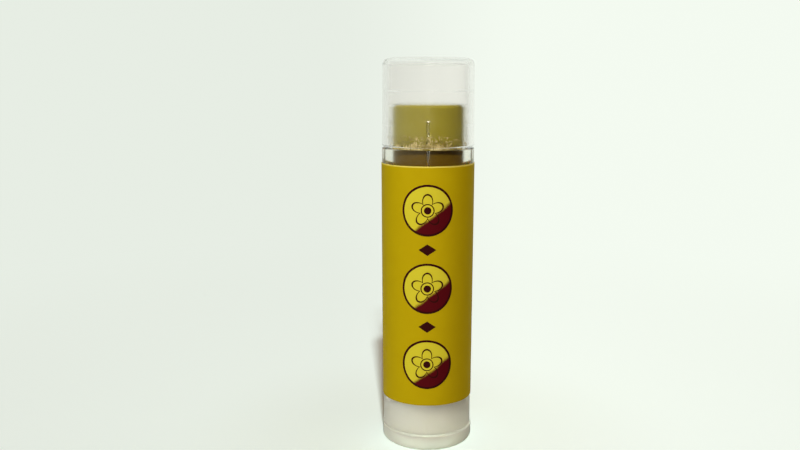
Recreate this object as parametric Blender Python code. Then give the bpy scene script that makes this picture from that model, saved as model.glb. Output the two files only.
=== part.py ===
"""Twist-up lip balm stick: clear cap, barrel and wheel, a wrapped label, and the balm on its elevator.

Every size is in metres. +Z is up, the stick stands on Z = 0 and -Y is its front. The wheel turns about Z with
the screw that is moulded on it, and the notched elevator cup climbs that screw between the barrel's guide ribs.
"""

import math

import bmesh
import bpy

# Bore, and the walls and fits that build the stick outward from it
BORE_RADIUS = 0.00620
NECK_WALL = 0.00066
SNAP_BEAD_HEIGHT = 0.00012
CAP_FIT = 0.00005
CAP_WALL = 0.00097
BARREL_DRAFT = 0.00020
CAP_DRAFT = 0.00013

# Wheel at the foot
WHEEL_HEIGHT = 0.00280
WHEEL_EDGE_FILLET = 0.00130
FOOT_RECESS = 0.00130
FOOT_RECESS_DRAFT = 0.00015
FOOT_RING_WIDTH = 0.00110
WHEEL_FLOOR = 0.00100
TURNING_GAP = 0.00020
TURNING_FIT = 0.00012
COLLAR_WALL = 0.00095

# Snap joint between the wheel's collar and the barrel
LIP_HEIGHT = 0.00140
LIP_CHAMFER = 0.00025
BARB_HEIGHT = 0.00028
BARB_LENGTH = 0.00090
BARB_GAP = 0.00012
CHAMBER_ROOM = 0.00040

# Barrel and neck
BARREL_LENGTH = 0.04970
NECK_LENGTH = 0.00740
NECK_RING_RISE = 0.00225
NECK_RING_HEIGHT = 0.00008
NECK_RING_LENGTH = 0.00060
SNAP_BEAD_RISE = 0.00435
SNAP_BEAD_LENGTH = 0.00130
RIM_CHAMFER_WIDTH = 0.00025
RIM_CHAMFER_DROP = 0.00040
RIB_COUNT = 4
RIB_HEIGHT = 0.00035
RIB_WIDTH = 0.00060
RIB_TOP_BELOW_RIM = 0.00280
RIB_FIT = 0.00012

# Cap
CAP_SEAT_GAP = 0.00030
CAP_HEADROOM = 0.00700
CAP_ROOF = 0.00095
CAP_CROWN_WIDTH = 0.00180
CAP_CROWN_DROP = 0.00033
CAP_EDGE_WIDTH = 0.00040
CAP_EDGE_DROP = 0.00062
CAP_EDGE_FILLET = 0.00060
CAP_ROOF_FILLET = 0.00060
CAP_STEP = 0.00018
CAP_STEP_ABOVE_RIM = 0.00220
CAP_GROOVE_DEPTH = 0.00010
CAP_MOUTH_CHAMFER = 0.00020

# Label
LABEL_BOTTOM_MARGIN = 0.00550
LABEL_TOP_MARGIN = 0.00260
LABEL_THICKNESS = 0.00010
LABEL_GAP = 0.00002
LABEL_LAP_STEPS = 3

# Screw: one left-hand start, so the wheel raises the balm when it turns clockwise as seen from below
SCREW_CORE_RADIUS = 0.00155
SCREW_THREAD_DEPTH = 0.00080
SCREW_LEAD = 0.00400
SCREW_ROOT_WIDTH = 0.00150
SCREW_CREST_WIDTH = 0.00070
SCREW_FIT = 0.00010
SCREW_TIP_BELOW_RIM = 0.00960
SCREW_TIP_CHAMFER = 0.00045
SCREW_START_RISE = 0.00150
SCREW_TURN = -1

# Elevator cup
SLIDE_FIT = 0.00010
SEAT_GAP = 0.00030
ELEVATOR_WALL = 0.00070
ELEVATOR_HEIGHT = 0.00730
ELEVATOR_SKIRT = 0.00270
ELEVATOR_FLOOR = 0.00090
HUB_WALL = 0.00085
HUB_SETBACK = 0.00060
HUB_ABOVE_FLOOR = 0.00180
SLOT_WIDTH = 0.00200
SLOT_SILL = 0.00080

# Balm
BALM_BELOW_RIM = 0.00025
BALM_EDGE_FILLET = 0.00050
BALM_DIP = 0.00020
BALM_DIP_SHARE = 0.7

# Finish of the mesh
EDGE_FILLET = 0.00015
INNER_FILLET = 0.00020
EMBED = 0.00030
OVERRUN = 0.00050
MERGE_DISTANCE = 0.0000001
ROUND_SEGMENTS = 48
SCREW_SEGMENTS = 24
RUN_OUT_SEGMENTS = 8
FILLET_STEP_ANGLE = math.radians(30.0)
FILLET_REACH_SHARE = 0.45
SHARP_ANGLE = math.radians(35.0)
FRONT_ANGLE = math.radians(-90.0)

# Radii that follow
NECK_RADIUS = BORE_RADIUS + NECK_WALL
CAP_BORE_RADIUS = NECK_RADIUS + SNAP_BEAD_HEIGHT + CAP_FIT
BODY_RADIUS = CAP_BORE_RADIUS + CAP_WALL
BARREL_FOOT_RADIUS = BODY_RADIUS - BARREL_DRAFT
COLLAR_RADIUS = BORE_RADIUS - TURNING_FIT
BARB_RADIUS = BORE_RADIUS + BARB_HEIGHT
CHAMBER_RADIUS = BARB_RADIUS + TURNING_FIT
ELEVATOR_RADIUS = BORE_RADIUS - SLIDE_FIT
CUP_RADIUS = ELEVATOR_RADIUS - ELEVATOR_WALL
NOTCH_RADIUS = BORE_RADIUS - RIB_HEIGHT - RIB_FIT
SCREW_CREST_RADIUS = SCREW_CORE_RADIUS + SCREW_THREAD_DEPTH
HUB_RADIUS = SCREW_CREST_RADIUS + SCREW_FIT + HUB_WALL

# Heights that follow, from the foot up
WELL_FLOOR_Z = FOOT_RECESS + WHEEL_FLOOR
BARREL_FOOT_Z = WHEEL_HEIGHT + TURNING_GAP
BARB_Z = BARREL_FOOT_Z + LIP_HEIGHT + BARB_GAP
COLLAR_TOP_Z = BARB_Z + BARB_LENGTH
ELEVATOR_Z = COLLAR_TOP_Z + SEAT_GAP
ELEVATOR_FLOOR_TOP = ELEVATOR_SKIRT + ELEVATOR_FLOOR
HUB_TOP = ELEVATOR_FLOOR_TOP + HUB_ABOVE_FLOOR
BALM_Z = ELEVATOR_Z + ELEVATOR_FLOOR_TOP + SEAT_GAP
SHOULDER_Z = BARREL_FOOT_Z + BARREL_LENGTH
RIM_Z = SHOULDER_Z + NECK_LENGTH
CAP_MOUTH_Z = SHOULDER_Z + CAP_SEAT_GAP
RIM_IN_CAP = RIM_Z - CAP_MOUTH_Z
CAP_LENGTH = RIM_IN_CAP + CAP_HEADROOM + CAP_ROOF
SCREW_TIP_Z = RIM_Z - SCREW_TIP_BELOW_RIM
SCREW_START_Z = WELL_FLOOR_Z + SCREW_START_RISE
CHAMBER_TOP = LIP_HEIGHT + BARB_GAP + BARB_LENGTH + CHAMBER_ROOM


def clear_scene():
    """Empties the file, so that the script gives the same result each run."""
    for item in list(bpy.data.objects):
        bpy.data.objects.remove(item, do_unlink=True)


def material(name, colour, roughness, alpha=1.0, transmission=0.0):
    """Returns a Principled material for one finish."""
    finish = bpy.data.materials.new(name)
    finish.use_nodes = True
    shader = finish.node_tree.nodes["Principled BSDF"]
    shader.inputs["Base Color"].default_value = (*colour, 1.0)
    shader.inputs["Roughness"].default_value = roughness
    shader.inputs["Metallic"].default_value = 0.0
    shader.inputs["Alpha"].default_value = alpha
    shader.inputs["Transmission Weight"].default_value = transmission
    return finish


def rounded(corners, closed):
    """Returns the outline's points, with each (radius, height, fillet) corner drawn as a tangent arc."""
    count = len(corners)
    points = []
    for index, (radius, height, fillet) in enumerate(corners):
        at_end = not closed and index in (0, count - 1)
        if at_end or not fillet:
            points.append((radius, height))
            continue
        before = corners[index - 1]
        after = corners[(index + 1) % count]
        points += fillet_arc((radius, height), before[:2], after[:2], fillet)
    return points


def fillet_arc(corner, before, after, fillet):
    """Returns the arc that rounds a corner, its reach held inside both of the sides that meet there."""
    to_before = (before[0] - corner[0], before[1] - corner[1])
    to_after = (after[0] - corner[0], after[1] - corner[1])
    length_before = math.hypot(*to_before)
    length_after = math.hypot(*to_after)
    unit_before = (to_before[0] / length_before, to_before[1] / length_before)
    unit_after = (to_after[0] / length_after, to_after[1] / length_after)
    cosine = unit_before[0] * unit_after[0] + unit_before[1] * unit_after[1]
    opening = math.acos(max(-1.0, min(1.0, cosine)))
    reach = min(
        fillet / math.tan(opening / 2.0),
        FILLET_REACH_SHARE * length_before,
        FILLET_REACH_SHARE * length_after,
    )
    steps = max(1, round((math.pi - opening) / FILLET_STEP_ANGLE))
    start = (corner[0] + unit_before[0] * reach, corner[1] + unit_before[1] * reach)
    radius = reach * math.tan(opening / 2.0)
    bisector = (unit_before[0] + unit_after[0], unit_before[1] + unit_after[1])
    stretch = radius / math.sin(opening / 2.0) / math.hypot(*bisector)
    centre = (corner[0] + bisector[0] * stretch, corner[1] + bisector[1] * stretch)
    first = math.atan2(start[1] - centre[1], start[0] - centre[0])
    turn = unit_before[0] * unit_after[1] - unit_before[1] * unit_after[0]
    sweep = math.copysign(math.pi - opening, -turn)
    angles = [first + sweep * step / steps for step in range(steps + 1)]
    return [(centre[0] + radius * math.cos(a), centre[1] + radius * math.sin(a)) for a in angles]


def add_object(name, shape, finish=None):
    """Turns a bmesh into a named object, with its faces out and its round faces smooth."""
    bmesh.ops.recalc_face_normals(shape, faces=shape.faces)
    mesh = bpy.data.meshes.new(name)
    shape.to_mesh(mesh)
    shape.free()
    mesh.shade_smooth()
    mesh.set_sharp_from_angle(angle=SHARP_ANGLE)
    item = bpy.data.objects.new(name, mesh)
    bpy.context.scene.collection.objects.link(item)
    if finish:
        mesh.materials.append(finish)
    return item


def turned(name, corners, finish=None, closed=False):
    """Returns the solid that an outline makes when it spins round Z. An open outline ends on the axis."""
    shape = bmesh.new()
    ring = [shape.verts.new((radius, 0.0, height)) for radius, height in rounded(corners, closed)]
    pairs = list(zip(ring, ring[1:]))
    if closed:
        pairs.append((ring[-1], ring[0]))
    edges = [shape.edges.new(pair) for pair in pairs]
    bmesh.ops.spin(
        shape,
        geom=ring + edges,
        axis=(0.0, 0.0, 1.0),
        cent=(0.0, 0.0, 0.0),
        steps=ROUND_SEGMENTS,
        angle=math.tau,
        use_merge=True,
    )
    bmesh.ops.remove_doubles(shape, verts=shape.verts, dist=MERGE_DISTANCE)
    return add_object(name, shape, finish)


def spokes(name, count, first_angle, inner, outer, width, bottom, top):
    """Returns one helper of equal upright bars round the axis, each from one radius to another."""
    shape = bmesh.new()
    for index in range(count):
        angle = first_angle + math.tau * index / count
        along = (math.cos(angle), math.sin(angle))
        across = (-along[1], along[0])
        plan = [(inner, -width / 2.0), (outer, -width / 2.0), (outer, width / 2.0), (inner, width / 2.0)]
        corners = [
            shape.verts.new((along[0] * r + across[0] * s, along[1] * r + across[1] * s, bottom))
            for r, s in plan
        ]
        base = shape.faces.new(corners)
        lifted = bmesh.ops.extrude_face_region(shape, geom=[base])
        raised = [part for part in lifted["geom"] if isinstance(part, bmesh.types.BMVert)]
        bmesh.ops.translate(shape, verts=raised, vec=(0.0, 0.0, top - bottom))
    return as_helper(add_object(name, shape))


def as_helper(item):
    """Marks an object as a tool that shapes another one and isn't a piece itself."""
    item.hide_render = True
    item.display_type = "WIRE"
    return item


def combine(target, helper, operation):
    """Cuts a helper from a piece, or joins it to the piece."""
    modifier = target.modifiers.new(helper.name, "BOOLEAN")
    modifier.operation = operation
    modifier.solver = "EXACT"
    modifier.object = helper
    helper.parent = target


def threaded_rod(name, bottom, top, ridge_start, ridge_turns, growth):
    """Returns a rod with one helical ridge that runs out at both ends.

    The ridge is a strip of four points a step, root to crest to root, and one plain strip joins each turn to
    the next. growth makes the rod larger all over, so the same shape cuts the hub's thread.
    """
    core = SCREW_CORE_RADIUS + growth
    depth = SCREW_THREAD_DEPTH
    root_half = SCREW_ROOT_WIDTH / 2.0 + growth
    crest_half = SCREW_CREST_WIDTH / 2.0 + growth
    steps = ridge_turns * SCREW_SEGMENTS
    shape = bmesh.new()

    def directions(step):
        angle = FRONT_ANGLE + SCREW_TURN * math.tau * step / SCREW_SEGMENTS
        return math.cos(angle), math.sin(angle)

    def plain_ring(radius, height):
        places = [directions(step) for step in range(SCREW_SEGMENTS)]
        return [shape.verts.new((radius * x, radius * y, height)) for x, y in places]

    low = plain_ring(core, bottom)
    high = plain_ring(core, top - SCREW_TIP_CHAMFER)
    tip = plain_ring(core - SCREW_TIP_CHAMFER, top)
    strip = []
    for step in range(steps + 1):
        x, y = directions(step)
        fade = min(1.0, step / RUN_OUT_SEGMENTS, (steps - step) / RUN_OUT_SEGMENTS)
        middle = ridge_start + SCREW_LEAD * step / SCREW_SEGMENTS
        crest = core + depth * fade
        profile = [(core, -root_half), (crest, -crest_half), (crest, crest_half), (core, root_half)]
        strip.append([shape.verts.new((r * x, r * y, middle + rise)) for r, rise in profile])

    for step in range(steps):
        here, there = strip[step], strip[step + 1]
        for side in range(3):
            shape.faces.new((here[side], there[side], there[side + 1], here[side + 1]))
    for step in range(steps - SCREW_SEGMENTS):
        here, there = strip[step], strip[step + 1]
        above_here, above_there = strip[step + SCREW_SEGMENTS], strip[step + SCREW_SEGMENTS + 1]
        shape.faces.new((here[3], there[3], above_there[0], above_here[0]))
    for index in range(SCREW_SEGMENTS):
        after = (index + 1) % SCREW_SEGMENTS
        shape.faces.new((tip[index], tip[after], high[after], high[index]))
        first, second = strip[index], strip[index + 1]
        below = [low[after], low[index], first[0]]
        if index == SCREW_SEGMENTS - 1:
            below += [second[0], strip[0][3], strip[0][2], strip[0][1], strip[0][0]]
        else:
            below += [second[0]]
        shape.faces.new(below)
        last = steps - SCREW_SEGMENTS + index
        first, second = strip[last], strip[last + 1]
        above = [high[index], high[after], second[3], first[3]]
        if index == 0:
            above += [strip[steps][0], strip[steps][1], strip[steps][2], strip[steps][3]]
        shape.faces.new(above)
    shape.faces.new(low)
    shape.faces.new(tip)
    return as_helper(add_object(name, shape))


def bead(radius, middle, length, height):
    """Returns the four corners of a low rounded bead on an upright wall."""
    flat = length / 4.0
    return [
        (radius, middle - length / 2.0, length),
        (radius + height, middle - flat / 2.0, length),
        (radius + height, middle + flat / 2.0, length),
        (radius, middle + length / 2.0, length),
    ]


def make_dial_spindle(finish):
    """Builds the wheel, its snap collar and its screw, which are one moulding."""
    ring_outer = BODY_RADIUS - WHEEL_EDGE_FILLET
    ring_inner = ring_outer - FOOT_RING_WIDTH
    wheel = turned(
        "dial_spindle",
        [
            (0.0, FOOT_RECESS, 0.0),
            (ring_inner - FOOT_RECESS_DRAFT, FOOT_RECESS, 0.0),
            (ring_inner, 0.0, 0.0),
            (BODY_RADIUS, 0.0, WHEEL_EDGE_FILLET),
            (BODY_RADIUS, WHEEL_HEIGHT, EDGE_FILLET),
            (COLLAR_RADIUS, WHEEL_HEIGHT, 0.0),
            (COLLAR_RADIUS, BARB_Z, 0.0),
            (BARB_RADIUS, BARB_Z, 0.0),
            (BARB_RADIUS, BARB_Z + BARB_LENGTH / 2.0, 0.0),
            (COLLAR_RADIUS - BARB_HEIGHT, COLLAR_TOP_Z, 0.0),
            (COLLAR_RADIUS - COLLAR_WALL, COLLAR_TOP_Z, 0.0),
            (COLLAR_RADIUS - COLLAR_WALL, WELL_FLOOR_Z, 0.0),
            (0.0, WELL_FLOOR_Z, 0.0),
        ],
        finish,
    )
    ridge_room = SCREW_TIP_Z - SCREW_TIP_CHAMFER - SCREW_ROOT_WIDTH - SCREW_START_Z
    turns = math.floor(ridge_room / SCREW_LEAD)
    screw = threaded_rod("screw", WELL_FLOOR_Z - EMBED, SCREW_TIP_Z, SCREW_START_Z, turns, 0.0)
    combine(wheel, screw, "UNION")
    return wheel


def make_barrel(finish):
    """Builds the barrel: drafted wall, shoulder, neck, bore, guide ribs and retaining lip."""
    rim = BARREL_LENGTH + NECK_LENGTH
    outline = [
        (BARREL_FOOT_RADIUS, 0.0, EDGE_FILLET),
        (BODY_RADIUS, BARREL_LENGTH, INNER_FILLET),
        (NECK_RADIUS, BARREL_LENGTH, 0.0),
    ]
    outline += bead(NECK_RADIUS, BARREL_LENGTH + NECK_RING_RISE, NECK_RING_LENGTH, NECK_RING_HEIGHT)
    outline += bead(NECK_RADIUS, BARREL_LENGTH + SNAP_BEAD_RISE, SNAP_BEAD_LENGTH, SNAP_BEAD_HEIGHT)
    outline += [
        (NECK_RADIUS, rim - RIM_CHAMFER_DROP, EDGE_FILLET),
        (NECK_RADIUS - RIM_CHAMFER_WIDTH, rim, EDGE_FILLET),
        (BORE_RADIUS, rim, EDGE_FILLET),
        (BORE_RADIUS, CHAMBER_TOP, 0.0),
        (CHAMBER_RADIUS, CHAMBER_TOP - CHAMBER_ROOM, 0.0),
        (CHAMBER_RADIUS, LIP_HEIGHT, 0.0),
        (BORE_RADIUS, LIP_HEIGHT, 0.0),
        (BORE_RADIUS, LIP_CHAMFER, 0.0),
        (BORE_RADIUS + LIP_CHAMFER, 0.0, 0.0),
    ]
    barrel = turned("barrel", outline, finish, closed=True)
    barrel.location.z = BARREL_FOOT_Z
    ribs = spokes(
        "guide_ribs",
        RIB_COUNT,
        FRONT_ANGLE,
        BORE_RADIUS - RIB_HEIGHT,
        BORE_RADIUS + EMBED,
        RIB_WIDTH,
        CHAMBER_TOP + EMBED,
        rim - RIB_TOP_BELOW_RIM,
    )
    combine(barrel, ribs, "UNION")
    return barrel


def make_label(finish):
    """Builds the film wrapped once round the barrel, with its end lapped over its start at the back."""
    bottom = LABEL_BOTTOM_MARGIN
    top = BARREL_LENGTH - LABEL_TOP_MARGIN
    back = ROUND_SEGMENTS // 4
    shape = bmesh.new()

    def barrel_radius(height):
        return BARREL_FOOT_RADIUS + BARREL_DRAFT * height / BARREL_LENGTH

    def film_ring(height):
        inside, outside = [], []
        for step in range(ROUND_SEGMENTS + LABEL_LAP_STEPS + 1):
            angle = math.tau * (back + step) / ROUND_SEGMENTS
            radius = barrel_radius(height) + LABEL_GAP
            if step >= ROUND_SEGMENTS:
                radius += LABEL_THICKNESS + LABEL_GAP
            for wall, extra in ((inside, 0.0), (outside, LABEL_THICKNESS)):
                far = radius + extra
                wall.append(shape.verts.new((far * math.cos(angle), far * math.sin(angle), height - bottom)))
        return inside + outside[::-1]

    low = film_ring(bottom)
    high = film_ring(top)
    half = len(low) // 2
    for index in range(len(low)):
        after = (index + 1) % len(low)
        shape.faces.new((low[index], low[after], high[after], high[index]))
    for edge in (low, high):
        for index in range(half - 1):
            shape.faces.new((edge[index], edge[index + 1], edge[-index - 2], edge[-index - 1]))
    label = add_object("label", shape, finish)
    label.location.z = BARREL_FOOT_Z + bottom
    return label


def make_elevator(finish):
    """Builds the cup that carries the balm: skirt, floor, castellated rim and the threaded hub."""
    cup = turned(
        "elevator_cup",
        [
            (0.0, HUB_SETBACK, 0.0),
            (HUB_RADIUS, HUB_SETBACK, 0.0),
            (HUB_RADIUS, ELEVATOR_SKIRT, 0.0),
            (CUP_RADIUS, ELEVATOR_SKIRT, 0.0),
            (CUP_RADIUS, 0.0, 0.0),
            (ELEVATOR_RADIUS, 0.0, EDGE_FILLET),
            (ELEVATOR_RADIUS, ELEVATOR_HEIGHT, EDGE_FILLET),
            (CUP_RADIUS, ELEVATOR_HEIGHT, 0.0),
            (CUP_RADIUS, ELEVATOR_FLOOR_TOP, 0.0),
            (HUB_RADIUS, ELEVATOR_FLOOR_TOP, 0.0),
            (HUB_RADIUS, HUB_TOP, 0.0),
            (0.0, HUB_TOP, 0.0),
        ],
        finish,
    )
    cup.location.z = ELEVATOR_Z
    notches = spokes(
        "rib_notches",
        RIB_COUNT,
        FRONT_ANGLE,
        NOTCH_RADIUS,
        BORE_RADIUS + EMBED,
        RIB_WIDTH + RIB_FIT * 2.0,
        -OVERRUN,
        ELEVATOR_HEIGHT + OVERRUN,
    )
    combine(cup, notches, "DIFFERENCE")
    slots = spokes(
        "rim_slots",
        RIB_COUNT,
        FRONT_ANGLE + math.pi / RIB_COUNT,
        CUP_RADIUS - EMBED,
        ELEVATOR_RADIUS + OVERRUN,
        SLOT_WIDTH,
        ELEVATOR_FLOOR_TOP + SLOT_SILL,
        ELEVATOR_HEIGHT + OVERRUN,
    )
    combine(cup, slots, "DIFFERENCE")
    turns_below = math.floor((ELEVATOR_Z + HUB_SETBACK - SCREW_START_Z) / SCREW_LEAD) - 1
    thread_start = SCREW_START_Z + turns_below * SCREW_LEAD - ELEVATOR_Z
    turns = math.ceil((HUB_TOP - thread_start) / SCREW_LEAD) + 1
    thread_end = thread_start + (turns + 1) * SCREW_LEAD
    tap = threaded_rod("hub_tap", thread_start - SCREW_LEAD, thread_end, thread_start, turns, SCREW_FIT)
    combine(cup, tap, "DIFFERENCE")
    return cup


def make_balm(finish, elevator):
    """Builds the cast balm: a stick round the screw, a plug inside the cup and keys in the cup's slots."""
    rim_top = ELEVATOR_HEIGHT - ELEVATOR_FLOOR_TOP - SEAT_GAP
    hub_top = HUB_ABOVE_FLOOR - SEAT_GAP
    top = RIM_Z - BALM_BELOW_RIM - BALM_Z
    plug_radius = CUP_RADIUS - SEAT_GAP
    screw_room = SCREW_CREST_RADIUS + SCREW_FIT + SLIDE_FIT
    screw_top = SCREW_TIP_Z + SEAT_GAP - BALM_Z
    balm = turned(
        "balm",
        [
            (0.0, top - BALM_DIP, 0.0),
            (ELEVATOR_RADIUS * BALM_DIP_SHARE, top, BALM_EDGE_FILLET),
            (ELEVATOR_RADIUS, top, BALM_EDGE_FILLET),
            (ELEVATOR_RADIUS, rim_top + SEAT_GAP, 0.0),
            (plug_radius, rim_top + SEAT_GAP, 0.0),
            (plug_radius, 0.0, 0.0),
            (HUB_RADIUS + SEAT_GAP, 0.0, 0.0),
            (HUB_RADIUS + SEAT_GAP, hub_top + SEAT_GAP, 0.0),
            (screw_room, hub_top + SEAT_GAP, 0.0),
            (screw_room, screw_top, 0.0),
            (0.0, screw_top, 0.0),
        ],
        finish,
    )
    balm.location.z = BALM_Z - ELEVATOR_Z
    balm.parent = elevator
    keys = spokes(
        "slot_keys",
        RIB_COUNT,
        FRONT_ANGLE + math.pi / RIB_COUNT,
        plug_radius - EMBED,
        ELEVATOR_RADIUS - SLIDE_FIT,
        SLOT_WIDTH - SEAT_GAP * 2.0,
        SLOT_SILL,
        rim_top + SEAT_GAP + EMBED,
    )
    combine(balm, keys, "UNION")
    grooves = spokes(
        "rib_grooves",
        RIB_COUNT,
        FRONT_ANGLE,
        NOTCH_RADIUS,
        BORE_RADIUS + EMBED,
        RIB_WIDTH + RIB_FIT * 2.0,
        rim_top,
        top + OVERRUN,
    )
    combine(balm, grooves, "DIFFERENCE")
    return balm


def make_cap(finish):
    """Builds the cap: drafted wall, softened crown, roof, bore step and the groove for the bead."""
    crown_radius = BODY_RADIUS - CAP_DRAFT
    crown_edge = CAP_LENGTH - CAP_CROWN_DROP
    upper_bore = CAP_BORE_RADIUS - CAP_STEP
    roof = CAP_LENGTH - CAP_ROOF
    step = RIM_IN_CAP + CAP_STEP_ABOVE_RIM
    groove = BARREL_LENGTH + SNAP_BEAD_RISE + BARREL_FOOT_Z - CAP_MOUTH_Z
    outline = [
        (0.0, CAP_LENGTH, 0.0),
        (crown_radius - CAP_CROWN_WIDTH, CAP_LENGTH, CAP_EDGE_FILLET),
        (crown_radius - CAP_EDGE_WIDTH, crown_edge, CAP_EDGE_FILLET),
        (crown_radius, crown_edge - CAP_EDGE_DROP, CAP_EDGE_FILLET),
        (BODY_RADIUS, 0.0, EDGE_FILLET),
        (CAP_BORE_RADIUS + CAP_MOUTH_CHAMFER, 0.0, 0.0),
        (CAP_BORE_RADIUS, CAP_MOUTH_CHAMFER, 0.0),
    ]
    outline += bead(CAP_BORE_RADIUS, groove, SNAP_BEAD_LENGTH, CAP_GROOVE_DEPTH)
    outline += [
        (CAP_BORE_RADIUS, step, 0.0),
        (upper_bore, step + CAP_STEP, 0.0),
        (upper_bore, roof, CAP_ROOF_FILLET),
        (0.0, roof, 0.0),
    ]
    cap = turned("cap", outline, finish)
    cap.location.z = CAP_MOUTH_Z
    return cap


def main():
    """Builds the stick, each piece in its place."""
    clear_scene()
    clear_plastic = material("clear_plastic", (0.86, 0.87, 0.83), 0.12, alpha=0.35, transmission=0.9)
    cup_plastic = material("natural_plastic", (0.80, 0.80, 0.74), 0.35, alpha=0.8)
    film = material("label_film", (0.45, 0.34, 0.0), 0.35)
    wax = material("balm_wax", (0.28, 0.22, 0.05), 0.5)
    make_dial_spindle(clear_plastic)
    make_barrel(clear_plastic)
    make_label(film)
    elevator = make_elevator(cup_plastic)
    make_balm(wax, elevator)
    make_cap(clear_plastic)


main()
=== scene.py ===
"""Dresses the twist-up lip balm stick: clear cap, barrel and wheel, printed label, elevator and balm.

Each sub-assembly is a class. Its fields are sizes in millimetres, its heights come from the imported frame, and
its methods build the meshes and dress them. Z is up, -Y is the front, and the stick stands on Z = 0.
"""

import logging
import math
from dataclasses import dataclass, field
from enum import Enum

import bmesh
import bpy
import numpy as np
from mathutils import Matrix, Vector


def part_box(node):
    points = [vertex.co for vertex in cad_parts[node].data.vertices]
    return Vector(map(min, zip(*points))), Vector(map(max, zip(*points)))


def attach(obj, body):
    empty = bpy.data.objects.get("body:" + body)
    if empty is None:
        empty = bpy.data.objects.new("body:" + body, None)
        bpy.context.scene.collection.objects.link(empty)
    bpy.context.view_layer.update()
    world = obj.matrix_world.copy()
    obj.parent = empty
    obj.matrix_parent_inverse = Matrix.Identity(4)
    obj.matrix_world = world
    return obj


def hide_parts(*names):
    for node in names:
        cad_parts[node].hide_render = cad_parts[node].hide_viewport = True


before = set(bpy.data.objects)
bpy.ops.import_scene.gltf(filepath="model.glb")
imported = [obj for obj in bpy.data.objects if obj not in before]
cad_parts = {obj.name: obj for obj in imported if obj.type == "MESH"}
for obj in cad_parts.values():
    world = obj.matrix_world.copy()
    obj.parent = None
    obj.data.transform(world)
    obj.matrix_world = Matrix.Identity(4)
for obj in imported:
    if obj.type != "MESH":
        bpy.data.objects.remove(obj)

LOG = logging.getLogger("lip_balm_stick")
MM = 0.001
FRONT = math.radians(-90.0)
BACK = math.radians(90.0)
CREASE_ANGLE = math.radians(32.0)
FILLET_STEP = math.radians(15.0)
FLAT_ANGLE = FILLET_STEP / 4.0
LONGEST_FILLET_SHARE = 0.48
BEAD_FLAT_SHARE = 0.25
TURN_SEGMENTS = 120
FEATURE_MARGIN_SHARE = 1.1
ON_AXIS = 1e-9
HALF_A_BOUNCE = 0.5
MIDDLE = (0.0, 0.0, 0.034)

Colour = tuple[float, float, float]
Material = bpy.types.Material
Socket = bpy.types.NodeSocket


class Body(Enum):
    """The bodies that move against each other."""

    BARREL = "barrel"
    WHEEL = "wheel"
    STICK = "stick"
    CAP = "cap"


class Slot(Enum):
    """The material slots of the record."""

    CLEAR = "clear_plastic"
    NATURAL = "natural_plastic"
    FILM = "label_film"
    WAX = "balm_wax"


@dataclass(frozen=True)
class Span:
    """The lowest and highest point of a node of the frame, and its widest radius, in millimetres."""

    bottom: float
    top: float
    radius: float

    @classmethod
    def of(cls, node: str) -> "Span":
        """Reads a node's span.

        Args:
            node: The node's name in the frame.

        Returns:
            Its span.
        """
        low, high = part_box(node)
        return cls(low.z / MM, high.z / MM, high.x / MM)


@dataclass(frozen=True)
class Corner:
    """A corner of a turned outline: its radius, its height and how far it is rounded, in millimetres."""

    radius: float
    height: float
    fillet: float = 0.0

    def towards(self, other: "Corner") -> tuple[np.ndarray, float]:
        """Returns the unit direction and the distance to another corner."""
        step = np.array([other.radius - self.radius, other.height - self.height])
        length = float(np.hypot(*step))
        return step / length, length


def fillet_arc(corner: Corner, before: Corner, after: Corner) -> list[tuple[float, float]]:
    """Rounds a corner with a tangent arc that stays inside the two sides that meet there.

    Args:
        corner: The corner to round.
        before: The corner before it.
        after: The corner after it.

    Returns:
        The arc's points, as (radius, height).
    """
    back, back_length = corner.towards(before)
    ahead, ahead_length = corner.towards(after)
    opening = math.acos(float(np.clip(back @ ahead, -1.0, 1.0)))
    if math.pi - opening < FLAT_ANGLE:
        return [(corner.radius, corner.height)]
    longest = LONGEST_FILLET_SHARE * min(back_length, ahead_length)
    reach = min(corner.fillet / math.tan(opening / 2.0), longest)
    radius = reach * math.tan(opening / 2.0)
    bisector = back + ahead
    place = np.array([corner.radius, corner.height])
    centre = place + bisector / np.hypot(*bisector) * radius / math.sin(opening / 2.0)
    start = place + back * reach - centre
    first = math.atan2(start[1], start[0])
    sweep = math.copysign(math.pi - opening, -(back[0] * ahead[1] - back[1] * ahead[0]))
    steps = max(2, round(abs(sweep) / FILLET_STEP))
    angles = [first + sweep * step / steps for step in range(steps + 1)]
    return [(centre[0] + radius * math.cos(a), centre[1] + radius * math.sin(a)) for a in angles]


def softened(corners: list[Corner], closed: bool) -> np.ndarray:
    """Turns an outline's corners into its points.

    Args:
        corners: The corners in order.
        closed: Whether the outline runs back to its first corner.

    Returns:
        The points, one row of radius and height each.
    """
    points: list[tuple[float, float]] = []
    count = len(corners)
    for index, corner in enumerate(corners):
        at_end = not closed and index in (0, count - 1)
        if at_end or corner.fillet <= 0.0:
            points.append((corner.radius, corner.height))
            continue
        points += fillet_arc(corner, corners[index - 1], corners[(index + 1) % count])
    return np.array(points)


def bead(radius: float, middle: float, length: float, height: float) -> list[Corner]:
    """Returns the corners of a low rounded bead on an upright wall, from below to above."""
    flat = length * BEAD_FLAT_SHARE
    return [
        Corner(radius, middle - length / 2.0, length),
        Corner(radius + height, middle - flat / 2.0, length),
        Corner(radius + height, middle + flat / 2.0, length),
        Corner(radius, middle + length / 2.0, length),
    ]


def wall(radius: float, start: float, end: float, pitch: float) -> list[Corner]:
    """Returns the points of an upright wall with rows at an even pitch, its ends included."""
    rows = max(2, round(abs(end - start) / pitch) + 1)
    return [Corner(radius, float(height)) for height in np.linspace(start, end, rows)]


def round_angles(count: int = TURN_SEGMENTS) -> np.ndarray:
    """Returns even angles once round, starting at the front."""
    return FRONT + math.tau * np.arange(count) / count


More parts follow.
